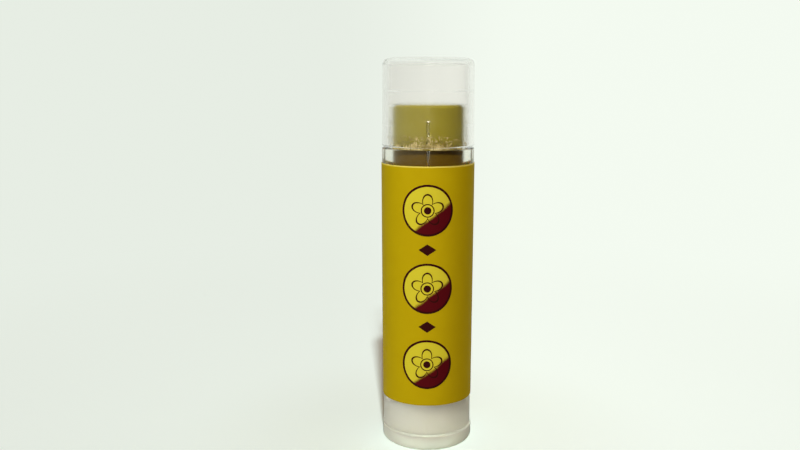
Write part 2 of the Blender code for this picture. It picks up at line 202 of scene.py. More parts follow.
def angles_with_edges(copies: int, first: float, half_width: float, edge: float, radius: float) -> np.ndarray:
    """Adds angles at the edges of upright features, so that their sides stand steep.

    Args:
        copies: How many features stand round the axis.
        first: The angle of the first one.
        half_width: Half of a feature's width, in millimetres.
        edge: How wide its rounded side is, in millimetres.
        radius: The radius of the wall, in millimetres.

    Returns:
        The angles in rising order.
    """
    reach = (half_width + edge) / radius
    kept = []
    offsets = (-half_width - edge, -half_width - edge / 2.0, -half_width, 0.0)
    places = [first + math.tau * index / copies for index in range(copies)]
    for angle in round_angles():
        gaps = [abs(math.remainder(angle - place, math.tau)) for place in places]
        if min(gaps) > reach * FEATURE_MARGIN_SHARE:
            kept.append(angle % math.tau)
    for place in places:
        for offset in offsets:
            kept.append((place + offset / radius) % math.tau)
            if offset:
                kept.append((place - offset / radius) % math.tau)
    return np.array(sorted(kept))


def mesh_from(name: str, points: np.ndarray, faces: list[tuple[int, ...]]) -> bpy.types.Mesh:
    """Makes a mesh whose faces point outwards.

    Args:
        name: The mesh's name.
        points: The vertices, one row each, in metres.
        faces: The faces, as vertex numbers.

    Returns:
        The mesh, shaded smooth with its creases sharp.
    """
    mesh = bpy.data.meshes.new(name)
    mesh.from_pydata(points.tolist(), [], faces)
    shape = bmesh.new()
    shape.from_mesh(mesh)
    bmesh.ops.recalc_face_normals(shape, faces=shape.faces)
    if shape.calc_volume(signed=True) < 0.0:
        bmesh.ops.reverse_faces(shape, faces=shape.faces)
    shape.to_mesh(mesh)
    shape.free()
    shade(mesh)
    return mesh


def shell_faces(columns: int, rows: int) -> list[tuple[int, ...]]:
    """Lists the faces of a thin closed patch, whose inner points come row by row before its outer ones.

    Args:
        columns: How many points a row has.
        rows: How many rows each side of the patch has.

    Returns:
        The faces, as vertex numbers.
    """
    layer = columns * rows
    faces: list[tuple[int, ...]] = []
    for row in range(rows - 1):
        for column in range(columns - 1):
            first = row * columns + column
            square = (first, first + 1, first + columns + 1, first + columns)
            faces += [square, tuple(layer + number for number in square)]
    across = [row * columns + column for row in (0, rows - 1) for column in range(columns - 1)]
    faces += [(first, first + 1, layer + first + 1, layer + first) for first in across]
    upright = [row * columns + column for column in (0, columns - 1) for row in range(rows - 1)]
    faces += [(first, first + columns, layer + first + columns, layer + first) for first in upright]
    return faces


def shade(mesh: bpy.types.Mesh) -> None:
    """Shades a mesh smooth, with its creases sharp."""
    mesh.shade_smooth()
    mesh.set_sharp_from_angle(angle=CREASE_ANGLE)


def lathe(
    name: str,
    corners: list[Corner],
    closed: bool = False,
    angles: np.ndarray | None = None,
) -> bpy.types.Object:
    """Turns an outline round Z into a closed piece. An open outline starts and ends on the axis.

    Args:
        name: The piece's name.
        corners: The outline, in millimetres.
        closed: Whether the outline runs back to its first corner.
        angles: The angles of its upright rows, or None for even ones.

    Returns:
        The piece, at the origin.
    """
    outline = softened(corners, closed)
    turns = round_angles() if angles is None else angles
    rows = len(turns)
    points: list[tuple[float, float, float]] = []
    rings: list[list[int]] = []
    for radius, height in outline:
        first = len(points)
        if radius < ON_AXIS:
            points.append((0.0, 0.0, height))
            rings.append([first] * rows)
            continue
        points += [(radius * math.cos(a), radius * math.sin(a), height) for a in turns]
        rings.append(list(range(first, first + rows)))
    pairs = list(zip(rings, rings[1:]))
    if closed:
        pairs.append((rings[-1], rings[0]))
    faces = []
    for low, high in pairs:
        for index in range(rows):
            after = (index + 1) % rows
            corners_of_face = (low[index], low[after], high[after], high[index])
            faces.append(tuple(dict.fromkeys(corners_of_face)))
    return add_piece(name, mesh_from(name, np.array(points) * MM, faces))


def add_piece(name: str, mesh: bpy.types.Mesh) -> bpy.types.Object:
    """Puts a mesh in the scene as a piece at the origin."""
    piece = bpy.data.objects.new(name, mesh)
    bpy.context.scene.collection.objects.link(piece)
    return piece


class Sheet:
    """A node tree, with short calls that add a node, feed a socket or do a sum."""

    def __init__(self, tree: bpy.types.NodeTree) -> None:
        """Wraps a tree."""
        self.tree = tree

    def node(self, kind: str, **settings: object) -> bpy.types.Node:
        """Adds a node.

        Args:
            kind: The node's type name.
            **settings: The node's own settings.

        Returns:
            The node.
        """
        node = self.tree.nodes.new(kind)
        for name, value in settings.items():
            setattr(node, name, value)
        return node

    def feed(self, socket: Socket, value: object) -> None:
        """Links a value that comes from a node, or sets a plain one."""
        if isinstance(value, Socket):
            self.tree.links.new(value, socket)
        else:
            socket.default_value = value

    def sum(self, operation: str, *values: object, clamp: bool = False) -> Socket:
        """Adds a Math node.

        Args:
            operation: What it does, such as ADD.
            *values: Its numbers, plain or from nodes.
            clamp: Whether the result is held between 0 and 1.

        Returns:
            The result's socket.
        """
        node = self.node("ShaderNodeMath", operation=operation, use_clamp=clamp)
        for socket, value in zip(node.inputs, values):
            self.feed(socket, value)
        return node.outputs["Value"]

    def reckon(self, operation: str, *vectors: object) -> Socket:
        """Adds a Vector Math node, where SCALE takes its number last.

        Args:
            operation: What it does, such as NORMALIZE.
            *vectors: Its vectors, plain or from nodes.

        Returns:
            The result's socket, a number where the operation gives one.
        """
        node = self.node("ShaderNodeVectorMath", operation=operation)
        for socket, value in zip([socket for socket in node.inputs if socket.enabled], vectors):
            self.feed(socket, value)
        return next(socket for socket in node.outputs if socket.enabled)

    def ramp(self, value: object, start: object, end: object) -> Socket:
        """Returns a smooth 0 to 1 as a value goes from one place to another."""
        node = self.node("ShaderNodeMapRange", interpolation_type="SMOOTHSTEP")
        self.feed(node.inputs["Value"], value)
        self.feed(node.inputs["From Min"], start)
        self.feed(node.inputs["From Max"], end)
        return node.outputs["Result"]

    def scaled(self, value: object, start: float, end: float) -> Socket:
        """Returns a value of 0 to 1 spread between two others."""
        node = self.node("ShaderNodeMapRange")
        self.feed(node.inputs["Value"], value)
        self.feed(node.inputs["To Min"], start)
        self.feed(node.inputs["To Max"], end)
        return node.outputs["Result"]

    def blend(self, share: object, first: object, second: object) -> Socket:
        """Returns a colour between two others."""
        node = self.node("ShaderNodeMix", data_type="RGBA")
        # Inputs 6 and 7 are the two colours, and output 2 is the mixed one.
        self.feed(node.inputs[0], share)
        self.feed(node.inputs[6], first)
        self.feed(node.inputs[7], second)
        return node.outputs[2]

    def axes(self, vector: object) -> tuple[Socket, ...]:
        """Returns a vector's three numbers."""
        node = self.node("ShaderNodeSeparateXYZ")
        self.feed(node.inputs[0], vector)
        return tuple(node.outputs)

    def vector(self, x: object, y: object, z: object) -> Socket:
        """Returns a vector of three numbers."""
        node = self.node("ShaderNodeCombineXYZ")
        for socket, value in zip(node.inputs, (x, y, z)):
            self.feed(socket, value)
        return node.outputs[0]


class GeometryTree(Sheet):
    """A Geometry Nodes tree with named inputs, which ends in Realize Instances and Set Material."""

    def __init__(self, name: str, numbers: tuple[str, ...], whole: tuple[str, ...] = ()) -> None:
        """Makes the tree and its sockets.

        Args:
            name: The tree's name.
            numbers: The names of its number inputs.
            whole: The names of its whole number inputs.
        """
        super().__init__(bpy.data.node_groups.new(name, "GeometryNodeTree"))
        face = self.tree.interface
        face.new_socket("Geometry", in_out="INPUT", socket_type="NodeSocketGeometry")
        for title in numbers:
            face.new_socket(title, in_out="INPUT", socket_type="NodeSocketFloat")
        for title in whole:
            face.new_socket(title, in_out="INPUT", socket_type="NodeSocketInt")
        face.new_socket("Material", in_out="INPUT", socket_type="NodeSocketMaterial")
        face.new_socket("Geometry", in_out="OUTPUT", socket_type="NodeSocketGeometry")
        self.given = self.node("NodeGroupInput").outputs

    def end(self, geometry: Socket) -> bpy.types.NodeTree:
        """Closes the tree.

        Args:
            geometry: What the tree has made.

        Returns:
            The finished tree.
        """
        real = self.node("GeometryNodeRealizeInstances")
        dressed = self.node("GeometryNodeSetMaterial")
        self.feed(real.inputs["Geometry"], geometry)
        self.feed(dressed.inputs["Geometry"], real.outputs["Geometry"])
        self.feed(dressed.inputs["Material"], self.given["Material"])
        self.feed(self.node("NodeGroupOutput").inputs["Geometry"], dressed.outputs["Geometry"])
        return self.tree

    def cylinder(self) -> tuple[Socket, ...]:
        """Returns the position's x, y and z, its radius and its angle from the front."""
        x, y, z = self.axes(self.node("GeometryNodeInputPosition").outputs["Position"])
        radius = self.sum("SQRT", self.sum("ADD", self.sum("MULTIPLY", x, x), self.sum("MULTIPLY", y, y)))
        angle = self.sum("SUBTRACT", self.sum("ARCTAN2", y, x), FRONT)
        return x, y, z, radius, angle

    def move_radially(self, place: tuple[Socket, ...], growth: object) -> Socket:
        """Moves every point outwards, at its own height.

        Args:
            place: The points' place, as the tree's cylinder gives it.
            growth: How far they move out, in metres.

        Returns:
            The moved geometry.
        """
        x, y, z, radius, _ = place
        share = self.sum("DIVIDE", self.sum("ADD", radius, growth), self.sum("MAXIMUM", radius, MM * MM))
        outwards = self.vector(self.sum("MULTIPLY", x, share), self.sum("MULTIPLY", y, share), z)
        moved = self.node("GeometryNodeSetPosition")
        self.feed(moved.inputs["Geometry"], self.given["Geometry"])
        self.feed(moved.inputs["Position"], outwards)
        return moved.outputs["Geometry"]

    def near(self, radius: object) -> Socket:
        """Returns 1 on the wall that the inputs Wall Radius and Reach name, and 0 elsewhere."""
        gap = self.sum("ABSOLUTE", self.sum("SUBTRACT", radius, self.given["Wall Radius"]))
        return self.sum("LESS_THAN", gap, self.given["Reach"])


def flute_tree() -> bpy.types.NodeTree:
    """Makes the tree that raises upright ribs on a round wall, or sinks flutes in it.

    Returns:
        The tree. A positive Growth moves the wall outwards, and a negative one moves it inwards.
    """
    tree = GeometryTree(
        "upright_flutes",
        ("Wall Radius", "Reach", "Growth", "Half Width", "Edge", "Bottom", "Top", "Run Out", "First Angle"),
        ("Count",),
    )
    given = tree.given
    place = tree.cylinder()
    _, _, z, radius, angle = place
    pitch = tree.sum("DIVIDE", math.tau, given["Count"])
    half_pitch = tree.sum("MULTIPLY", pitch, 0.5)
    from_first = tree.sum("SUBTRACT", angle, given["First Angle"])
    offset = tree.sum("WRAP", from_first, half_pitch, tree.sum("MULTIPLY", half_pitch, -1.0))
    across = tree.sum("MULTIPLY", tree.sum("ABSOLUTE", offset), given["Wall Radius"])
    inner = given["Half Width"]
    outer = tree.sum("ADD", inner, given["Edge"])
    profile = tree.sum("SUBTRACT", 1.0, tree.ramp(across, inner, outer))
    foot = tree.sum("DIVIDE", tree.sum("SUBTRACT", z, given["Bottom"]), given["Run Out"], clamp=True)
    head = tree.sum("DIVIDE", tree.sum("SUBTRACT", given["Top"], z), given["Run Out"], clamp=True)
    upright = tree.sum("MULTIPLY", tree.sum("MULTIPLY", foot, head), tree.near(radius))
    growth = tree.sum("MULTIPLY", given["Growth"], tree.sum("MULTIPLY", profile, upright))
    return tree.end(tree.move_radially(place, growth))


def thread_tree() -> bpy.types.NodeTree:
    """Makes the tree that raises one helical ridge on a round wall, with run-outs at both ends.

    Returns:
        The tree. The ridge climbs clockwise, as a left-handed screw's does.
    """
    tree = GeometryTree(
        "screw_thread",
        ("Wall Radius", "Reach", "Depth", "Root Width", "Crest Width", "Lead", "Start", "Turns", "Run Out"),
    )
    given = tree.given
    place = tree.cylinder()
    _, _, z, radius, angle = place
    lead = given["Lead"]
    half_lead = tree.sum("MULTIPLY", lead, 0.5)
    climbed = tree.sum("MULTIPLY", tree.sum("DIVIDE", angle, -math.tau), lead)
    above = tree.sum("SUBTRACT", tree.sum("SUBTRACT", z, given["Start"]), climbed)
    offset = tree.sum("WRAP", above, half_lead, tree.sum("MULTIPLY", half_lead, -1.0))
    half_root = tree.sum("MULTIPLY", given["Root Width"], 0.5)
    half_crest = tree.sum("MULTIPLY", given["Crest Width"], 0.5)
    flank = tree.sum("SUBTRACT", half_root, tree.sum("ABSOLUTE", offset))
    profile = tree.sum("DIVIDE", flank, tree.sum("SUBTRACT", half_root, half_crest), clamp=True)
    ridge = tree.sum("SUBTRACT", tree.sum("SUBTRACT", z, given["Start"]), offset)
    turned = tree.sum("DIVIDE", ridge, lead)
    run_in = tree.sum("DIVIDE", turned, given["Run Out"], clamp=True)
    run_off = tree.sum("DIVIDE", tree.sum("SUBTRACT", given["Turns"], turned), given["Run Out"], clamp=True)
    fade = tree.sum("MULTIPLY", tree.sum("MULTIPLY", run_in, run_off), tree.near(radius))
    growth = tree.sum("MULTIPLY", given["Depth"], tree.sum("MULTIPLY", profile, fade))
    return tree.end(tree.move_radially(place, growth))


def crumb_tree() -> bpy.types.NodeTree:
    """Makes the tree that scatters flat crumbs of wax on a band, most of them low and near the front.

    Returns:
        The tree.
    """
    thinning_share = 0.15
    crumb_subdivisions = 2
    least_shares = (0.35, 0.5, 0.6)
    most_shares = (1.0, 1.6, 1.0)
    lengths = ("Size", "Thickness", "Bottom", "Fade Height")
    tree = GeometryTree(
        "wax_crumbs",
        ("Density", *lengths, "Thick Angle", "Spread Angle", "Least Share"),
        ("Seed",),
    )
    given = tree.given
    _, _, z, _, angle = tree.cylinder()
    around = tree.sum("WRAP", tree.sum("SUBTRACT", angle, given["Thick Angle"]), math.pi, -math.pi)
    side = tree.sum("DIVIDE", tree.sum("ABSOLUTE", around), given["Spread Angle"])
    crowd = tree.sum("SUBTRACT", 1.0, tree.ramp(side, 0.0, 1.0))
    crowd = tree.sum("MAXIMUM", crowd, given["Least Share"])
    rise = tree.sum("DIVIDE", tree.sum("SUBTRACT", z, given["Bottom"]), given["Fade Height"])
    low = tree.sum("SUBTRACT", 1.0, tree.ramp(rise, thinning_share, 1.0))
    thinned = tree.sum("MULTIPLY", crowd, low)
    points = tree.node("GeometryNodeDistributePointsOnFaces", distribute_method="RANDOM")
    tree.feed(points.inputs["Mesh"], given["Geometry"])
    tree.feed(points.inputs["Density"], tree.sum("MULTIPLY", given["Density"], thinned))
    tree.feed(points.inputs["Seed"], given["Seed"])
    crumb = tree.node("GeometryNodeMeshIcoSphere")
    crumb.inputs["Radius"].default_value = 1.0
    crumb.inputs["Subdivisions"].default_value = crumb_subdivisions
    drawn = tree.node("FunctionNodeRandomValue", data_type="FLOAT_VECTOR")
    tree.feed(drawn.inputs["Min"], least_shares)
    tree.feed(drawn.inputs["Max"], most_shares)
    tree.feed(drawn.inputs["Seed"], given["Seed"])
    wide, tall, thick = tree.axes(drawn.outputs["Value"])
    size = tree.vector(
        tree.sum("MULTIPLY", wide, given["Size"]),
        tree.sum("MULTIPLY", tall, given["Size"]),
        tree.sum("MULTIPLY", thick, given["Thickness"]),
    )
    placed = tree.node("GeometryNodeInstanceOnPoints")
    tree.feed(placed.inputs["Points"], points.outputs["Points"])
    tree.feed(placed.inputs["Instance"], crumb.outputs["Mesh"])
    tree.feed(placed.inputs["Rotation"], points.outputs["Rotation"])
    tree.feed(placed.inputs["Scale"], size)
    return tree.end(placed.outputs["Instances"])


def run_tree(
    piece: bpy.types.Object,
    tree: bpy.types.NodeTree,
    material: Material,
    lengths: dict[str, float],
    numbers: dict[str, float],
) -> None:
    """Runs a Geometry Nodes tree on a piece, and turns the result into its plain mesh.

    Args:
        piece: The piece.
        tree: The tree.
        material: The piece's finish.
        lengths: The tree's lengths by name, in millimetres.
        numbers: Its other inputs by name.
    """
    values = {title: length * MM for title, length in lengths.items()}
    values |= numbers
    values["Material"] = material
    modifier = piece.modifiers.new(tree.name, "NODES")
    modifier.node_group = tree
    for socket in tree.interface.items_tree:
        if socket.item_type == "SOCKET" and socket.in_out == "INPUT" and socket.name in values:
            modifier[socket.identifier] = values[socket.name]
    bpy.context.view_layer.update()
    graph = bpy.context.evaluated_depsgraph_get()
    mesh = bpy.data.meshes.new_from_object(piece.evaluated_get(graph))
    piece.modifiers.remove(modifier)
    piece.data = mesh
    mesh.name = piece.name
    shade(mesh)


class EffectGroup(Sheet):
    """A shared shader effect: a node group with named inputs and outputs."""

    def __init__(self, name: str, numbers: dict[str, float], outputs: tuple[str, ...]) -> None:
        """Makes the group and its sockets.

        Args:
            name: The group's name.
            numbers: The names and start values of its number inputs, after the input Place.
            outputs: The names of its outputs.
        """
        super().__init__(bpy.data.node_groups.new(name, "ShaderNodeTree"))
        face = self.tree.interface
        face.new_socket("Place", in_out="INPUT", socket_type="NodeSocketVector")
        for title, value in numbers.items():
            face.new_socket(title, in_out="INPUT", socket_type="NodeSocketFloat").default_value = value
        for title in outputs:
            face.new_socket(title, in_out="OUTPUT", socket_type="NodeSocketFloat")
        self.given = self.node("NodeGroupInput").outputs
        self.result = self.node("NodeGroupOutput").inputs

    def noise(self, place: object, scale: object, detail: float) -> Socket:
        """Returns a cloudy value over the surface."""
        node = self.node("ShaderNodeTexNoise")
        self.feed(node.inputs["Vector"], place)
        self.feed(node.inputs["Scale"], scale)
        node.inputs["Detail"].default_value = detail
        return node.outputs["Fac"]


def moulded_surface_group() -> bpy.types.NodeTree:
    """Makes the effect of moulded or cast surfaces: fine grain, slow waves and hair scratches.

    Returns:
        The group, with the outputs Height and Mask.
    """
    upright_stretch = (1.0, 1.0, 0.06)
    scratch_scale_share = 1.6
    scratch_start = 0.60
    scratch_end = 0.72
    grain_share = 0.35
    grain_detail = 3.0
    wave_detail = 1.0
    scratch_detail = 2.0
    numbers = {"Grain": 900.0, "Wave": 120.0, "Scratch Share": 0.2}
    group = EffectGroup("moulded_surface", numbers, ("Height", "Mask"))
    given = group.given
    grain = group.noise(given["Place"], given["Grain"], grain_detail)
    wave = group.noise(given["Place"], given["Wave"], wave_detail)
    stretched = group.reckon("MULTIPLY", given["Place"], upright_stretch)
    scratch_scale = group.sum("MULTIPLY", given["Grain"], scratch_scale_share)
    lines = group.noise(stretched, scratch_scale, scratch_detail)
    scratch = group.ramp(lines, scratch_start, scratch_end)
    scratch = group.sum("MULTIPLY", scratch, given["Scratch Share"])
    grain = group.sum("MULTIPLY", grain, grain_share)
    cloud = group.sum("ADD", grain, group.sum("MULTIPLY", wave, 1.0 - grain_share))
    group.feed(group.result["Mask"], group.sum("ADD", cloud, scratch, clamp=True))
    group.feed(group.result["Height"], group.sum("SUBTRACT", cloud, scratch))
    return group.tree


def film_mottle_group() -> bpy.types.NodeTree:
    """Makes the effect of printed or cut film: a fine mottle over a broad one.

    Returns:
        The group, with the outputs Height and Mask.
    """
    fine_share = 0.4
    fine_detail = 4.0
    broad_detail = 2.0
    group = EffectGroup("film_mottle", {"Fine": 6.0, "Broad": 0.35}, ("Height", "Mask"))
    given = group.given
    fine = group.noise(given["Place"], given["Fine"], fine_detail)
    broad = group.noise(given["Place"], given["Broad"], broad_detail)
    group.feed(group.result["Height"], fine)
    fine = group.sum("MULTIPLY", fine, fine_share)
    broad = group.sum("MULTIPLY", broad, 1.0 - fine_share)
    group.feed(group.result["Mask"], group.sum("ADD", fine, broad))
    return group.tree


@dataclass(frozen=True)
class Effects:
    """The shared shader effects, each built once."""

    surface: bpy.types.NodeTree
    mottle: bpy.types.NodeTree

    @classmethod
    def build(cls) -> "Effects":
        """Builds every effect."""
        return cls(moulded_surface_group(), film_mottle_group())


@dataclass(frozen=True)
class Relief:
    """A surface's grain and waves by scale, its share of scratches, and how strong and deep all that is."""

    grain: float
    wave: float
    scratch_share: float
    strength: float
    depth: float = 0.03


class Paint(Sheet):
    """A material's node tree with its Principled shader."""

    def __init__(self, name: str) -> None:
        """Makes the material.

        Args:
            name: The material's name.
        """
        self.material = bpy.data.materials.new(name)
        self.material.use_nodes = True
        super().__init__(self.material.node_tree)
        self.shader = self.tree.nodes["Principled BSDF"]

    def put(self, **values: object) -> None:
        """Sets or feeds the shader's inputs, with each underscore in a name read as a space."""
        for title, value in values.items():
            self.feed(self.shader.inputs[title.replace("_", " ")], value)

    def object_place(self) -> Socket:
        """Returns the Object coordinates."""
        return self.node("ShaderNodeTexCoord").outputs["Object"]

    def effect(self, group: bpy.types.NodeTree, place: object, **numbers: float) -> bpy.types.Node:
        """Places a shared effect.

        Args:
            group: The effect.
            place: The coordinates that it follows.
            **numbers: Its inputs, with each underscore read as a space.

        Returns:
            The group's node.
        """
        node = self.node("ShaderNodeGroup", node_tree=group)
        self.feed(node.inputs["Place"], place)
        for title, value in numbers.items():
            node.inputs[title.replace("_", " ")].default_value = value
        return node

    def bump(self, height: object, strength: float, depth: float) -> None:
        """Gives the surface fine relief, its depth in millimetres."""
        node = self.node("ShaderNodeBump")
        node.inputs["Strength"].default_value = strength
        node.inputs["Distance"].default_value = depth * MM
        self.feed(node.inputs["Height"], height)
        self.put(Normal=node.outputs["Normal"])

    def mould(self, effects: Effects, relief: Relief) -> Socket:
        """Gives the surface the relief that moulding or casting leaves.

        Args:
            effects: The shared effects.
            relief: The relief.

        Returns:
            A mask that varies over the surface with it.
        """
        surface = self.effect(
            effects.surface,
            self.object_place(),
            Grain=relief.grain,
            Wave=relief.wave,
            Scratch_Share=relief.scratch_share,
        )
        self.bump(surface.outputs["Height"], relief.strength, relief.depth)
        return surface.outputs["Mask"]

    def shades(self, mask: object, light: Colour, dark: Colour) -> Socket:
        """Returns a colour that varies between two shades."""
        return self.blend(mask, (*light, 1.0), (*dark, 1.0))


@dataclass(frozen=True)
class ClearPlastic:
    """Clear polypropylene: a slightly hazy, slightly tinted glass that lets lamps through.

    Where it is thick and unpolished it is rougher, and part of its clarity gives way to a milky glow.
    """

    name: str
    tint: Colour
    smoothest: float
    roughest: float
    clarity: float = 1.0
    glow_depth: float = 6.0
    glow_colour: Colour = (1.0, 1.0, 0.9)
    deepest_share: float = 0.985
    index: float = 1.30
    lamp_share: float = 0.94
    most_echoes: float = 2.5
    relief: Relief = Relief(grain=700.0, wave=140.0, scratch_share=0.25, strength=0.12)

    def build(self, effects: Effects) -> Material:
        """Builds the material.

        Args:
            effects: The shared effects.

        Returns:
            The material.
        """
        paint = Paint(self.name)
        mask = paint.mould(effects, self.relief)
        deeper = tuple(self.deepest_share * value for value in self.tint)
        paint.put(
            Base_Color=paint.shades(mask, self.tint, deeper),
            Transmission_Weight=self.clarity,
            Subsurface_Weight=1.0 if self.clarity < 1.0 else 0.0,
            Subsurface_Scale=self.glow_depth * MM,
            Subsurface_Radius=self.glow_colour,
            IOR=self.index,
            Roughness=paint.scaled(mask, self.smoothest, self.roughest),
            Alpha=self.solid_share(paint),
        )
        return paint.material

    def solid_share(self, paint: Paint) -> Socket:
        """Lets most of a lamp's light straight through, and lets go of light that is caught in a wall.

        Args:
            paint: The material's tree.

        Returns:
            The value for Alpha.
        """
        path = paint.node("ShaderNodeLightPath")
        shaded = paint.sum("MULTIPLY_ADD", path.outputs["Is Shadow Ray"], -self.lamp_share, 1.0)
        free = paint.sum("LESS_THAN", path.outputs["Glossy Depth"], self.most_echoes)
        return paint.sum("MULTIPLY", shaded, free)


@dataclass(frozen=True)
class NaturalPlastic:
    """Natural polypropylene: satin and milky, and some light goes through."""

    name: str = "natural_plastic"
    light: Colour = (0.93, 0.93, 0.85)
    dark: Colour = (0.88, 0.89, 0.79)
    smoothest: float = 0.32
    roughest: float = 0.45
    gloss: float = 0.25
    glow_depth: float = 3.0
    glow_colour: Colour = (1.0, 1.0, 0.9)
    relief: Relief = Relief(grain=1100.0, wave=200.0, scratch_share=0.1, strength=0.15)

    def build(self, effects: Effects) -> Material:
        """Builds the material.

        Args:
            effects: The shared effects.

        Returns:
            The material.
        """
        paint = Paint(self.name)
        mask = paint.mould(effects, self.relief)
        paint.put(
            Base_Color=paint.shades(mask, self.light, self.dark),
            Roughness=paint.scaled(mask, self.smoothest, self.roughest),
            Specular_IOR_Level=self.gloss,
            Subsurface_Weight=1.0,
            Subsurface_Scale=self.glow_depth * MM,
            Subsurface_Radius=self.glow_colour,
        )
        return paint.material


@dataclass(frozen=True)
class BalmWax:
    """Cast balm: olive yellow wax with slow clouds and a soft sheen, and painted shade: darker colours below
    the neck stand in for the shade inside the barrel.
    """

    name: str = "balm_wax"
    light: Colour = (0.50, 0.48, 0.068)
    dark: Colour = (0.395, 0.36, 0.030)
    # Painted shade: darker colours for the balm below the neck, standing in for the shade inside the barrel.
    painted_shade_light: Colour = (0.175, 0.115, 0.008)
    painted_shade_dark: Colour = (0.130, 0.075, 0.003)
    # The painted shade fades out between these two heights, across the shoulder.
    shade_fade_bottom: float = 52.2
    shade_fade_top: float = 53.2
    smoothest: float = 0.38
    roughest: float = 0.55
    index: float = 1.44
    gloss: float = 0.06
    relief: Relief = Relief(grain=1500.0, wave=260.0, scratch_share=0.05, strength=0.3, depth=0.06)

    def build(self, effects: Effects) -> Material:
        """Builds the material.

        Args:
            effects: The shared effects.

        Returns:
            The material.
        """
        paint = Paint(self.name)
        mask = paint.mould(effects, self.relief)
        # Painted shade for the balm inside the barrel, blended out by height over the shoulder.
        deep = paint.shades(mask, self.painted_shade_light, self.painted_shade_dark)
        pale = paint.shades(mask, self.light, self.dark)
        height = paint.axes(paint.object_place())[2]
        out_of_shade = paint.ramp(height, self.shade_fade_bottom * MM, self.shade_fade_top * MM)
        paint.put(
            Base_Color=paint.blend(out_of_shade, deep, pale),
            Roughness=paint.scaled(mask, self.smoothest, self.roughest),
            IOR=self.index,
            Specular_IOR_Level=self.gloss,
        )
        return paint.material


@dataclass(frozen=True)
class CrumbWax:
    """Crumbs and smears of the same wax, pale because they are thin and full of air."""

    name: str = "wax_crumbs"
    light: Colour = (0.74, 0.66, 0.32)
    dark: Colour = (0.30, 0.25, 0.06)
    light_mask: float = 0.38
    dark_mask: float = 0.62
    smoothest: float = 0.5
    roughest: float = 0.75
    gloss: float = 0.2
    relief: Relief = Relief(grain=2600.0, wave=900.0, scratch_share=0.5, strength=0.6, depth=0.05)

    def build(self, effects: Effects) -> Material:
        """Builds the material.

        Args:
            effects: The shared effects.

        Returns:
            The material.
        """
        paint = Paint(self.name)
        mask = paint.ramp(paint.mould(effects, self.relief), self.light_mask, self.dark_mask)
        paint.put(
            Base_Color=paint.shades(mask, self.light, self.dark),
            Roughness=paint.scaled(mask, self.smoothest, self.roughest),
            Specular_IOR_Level=self.gloss,
        )
        return paint.material


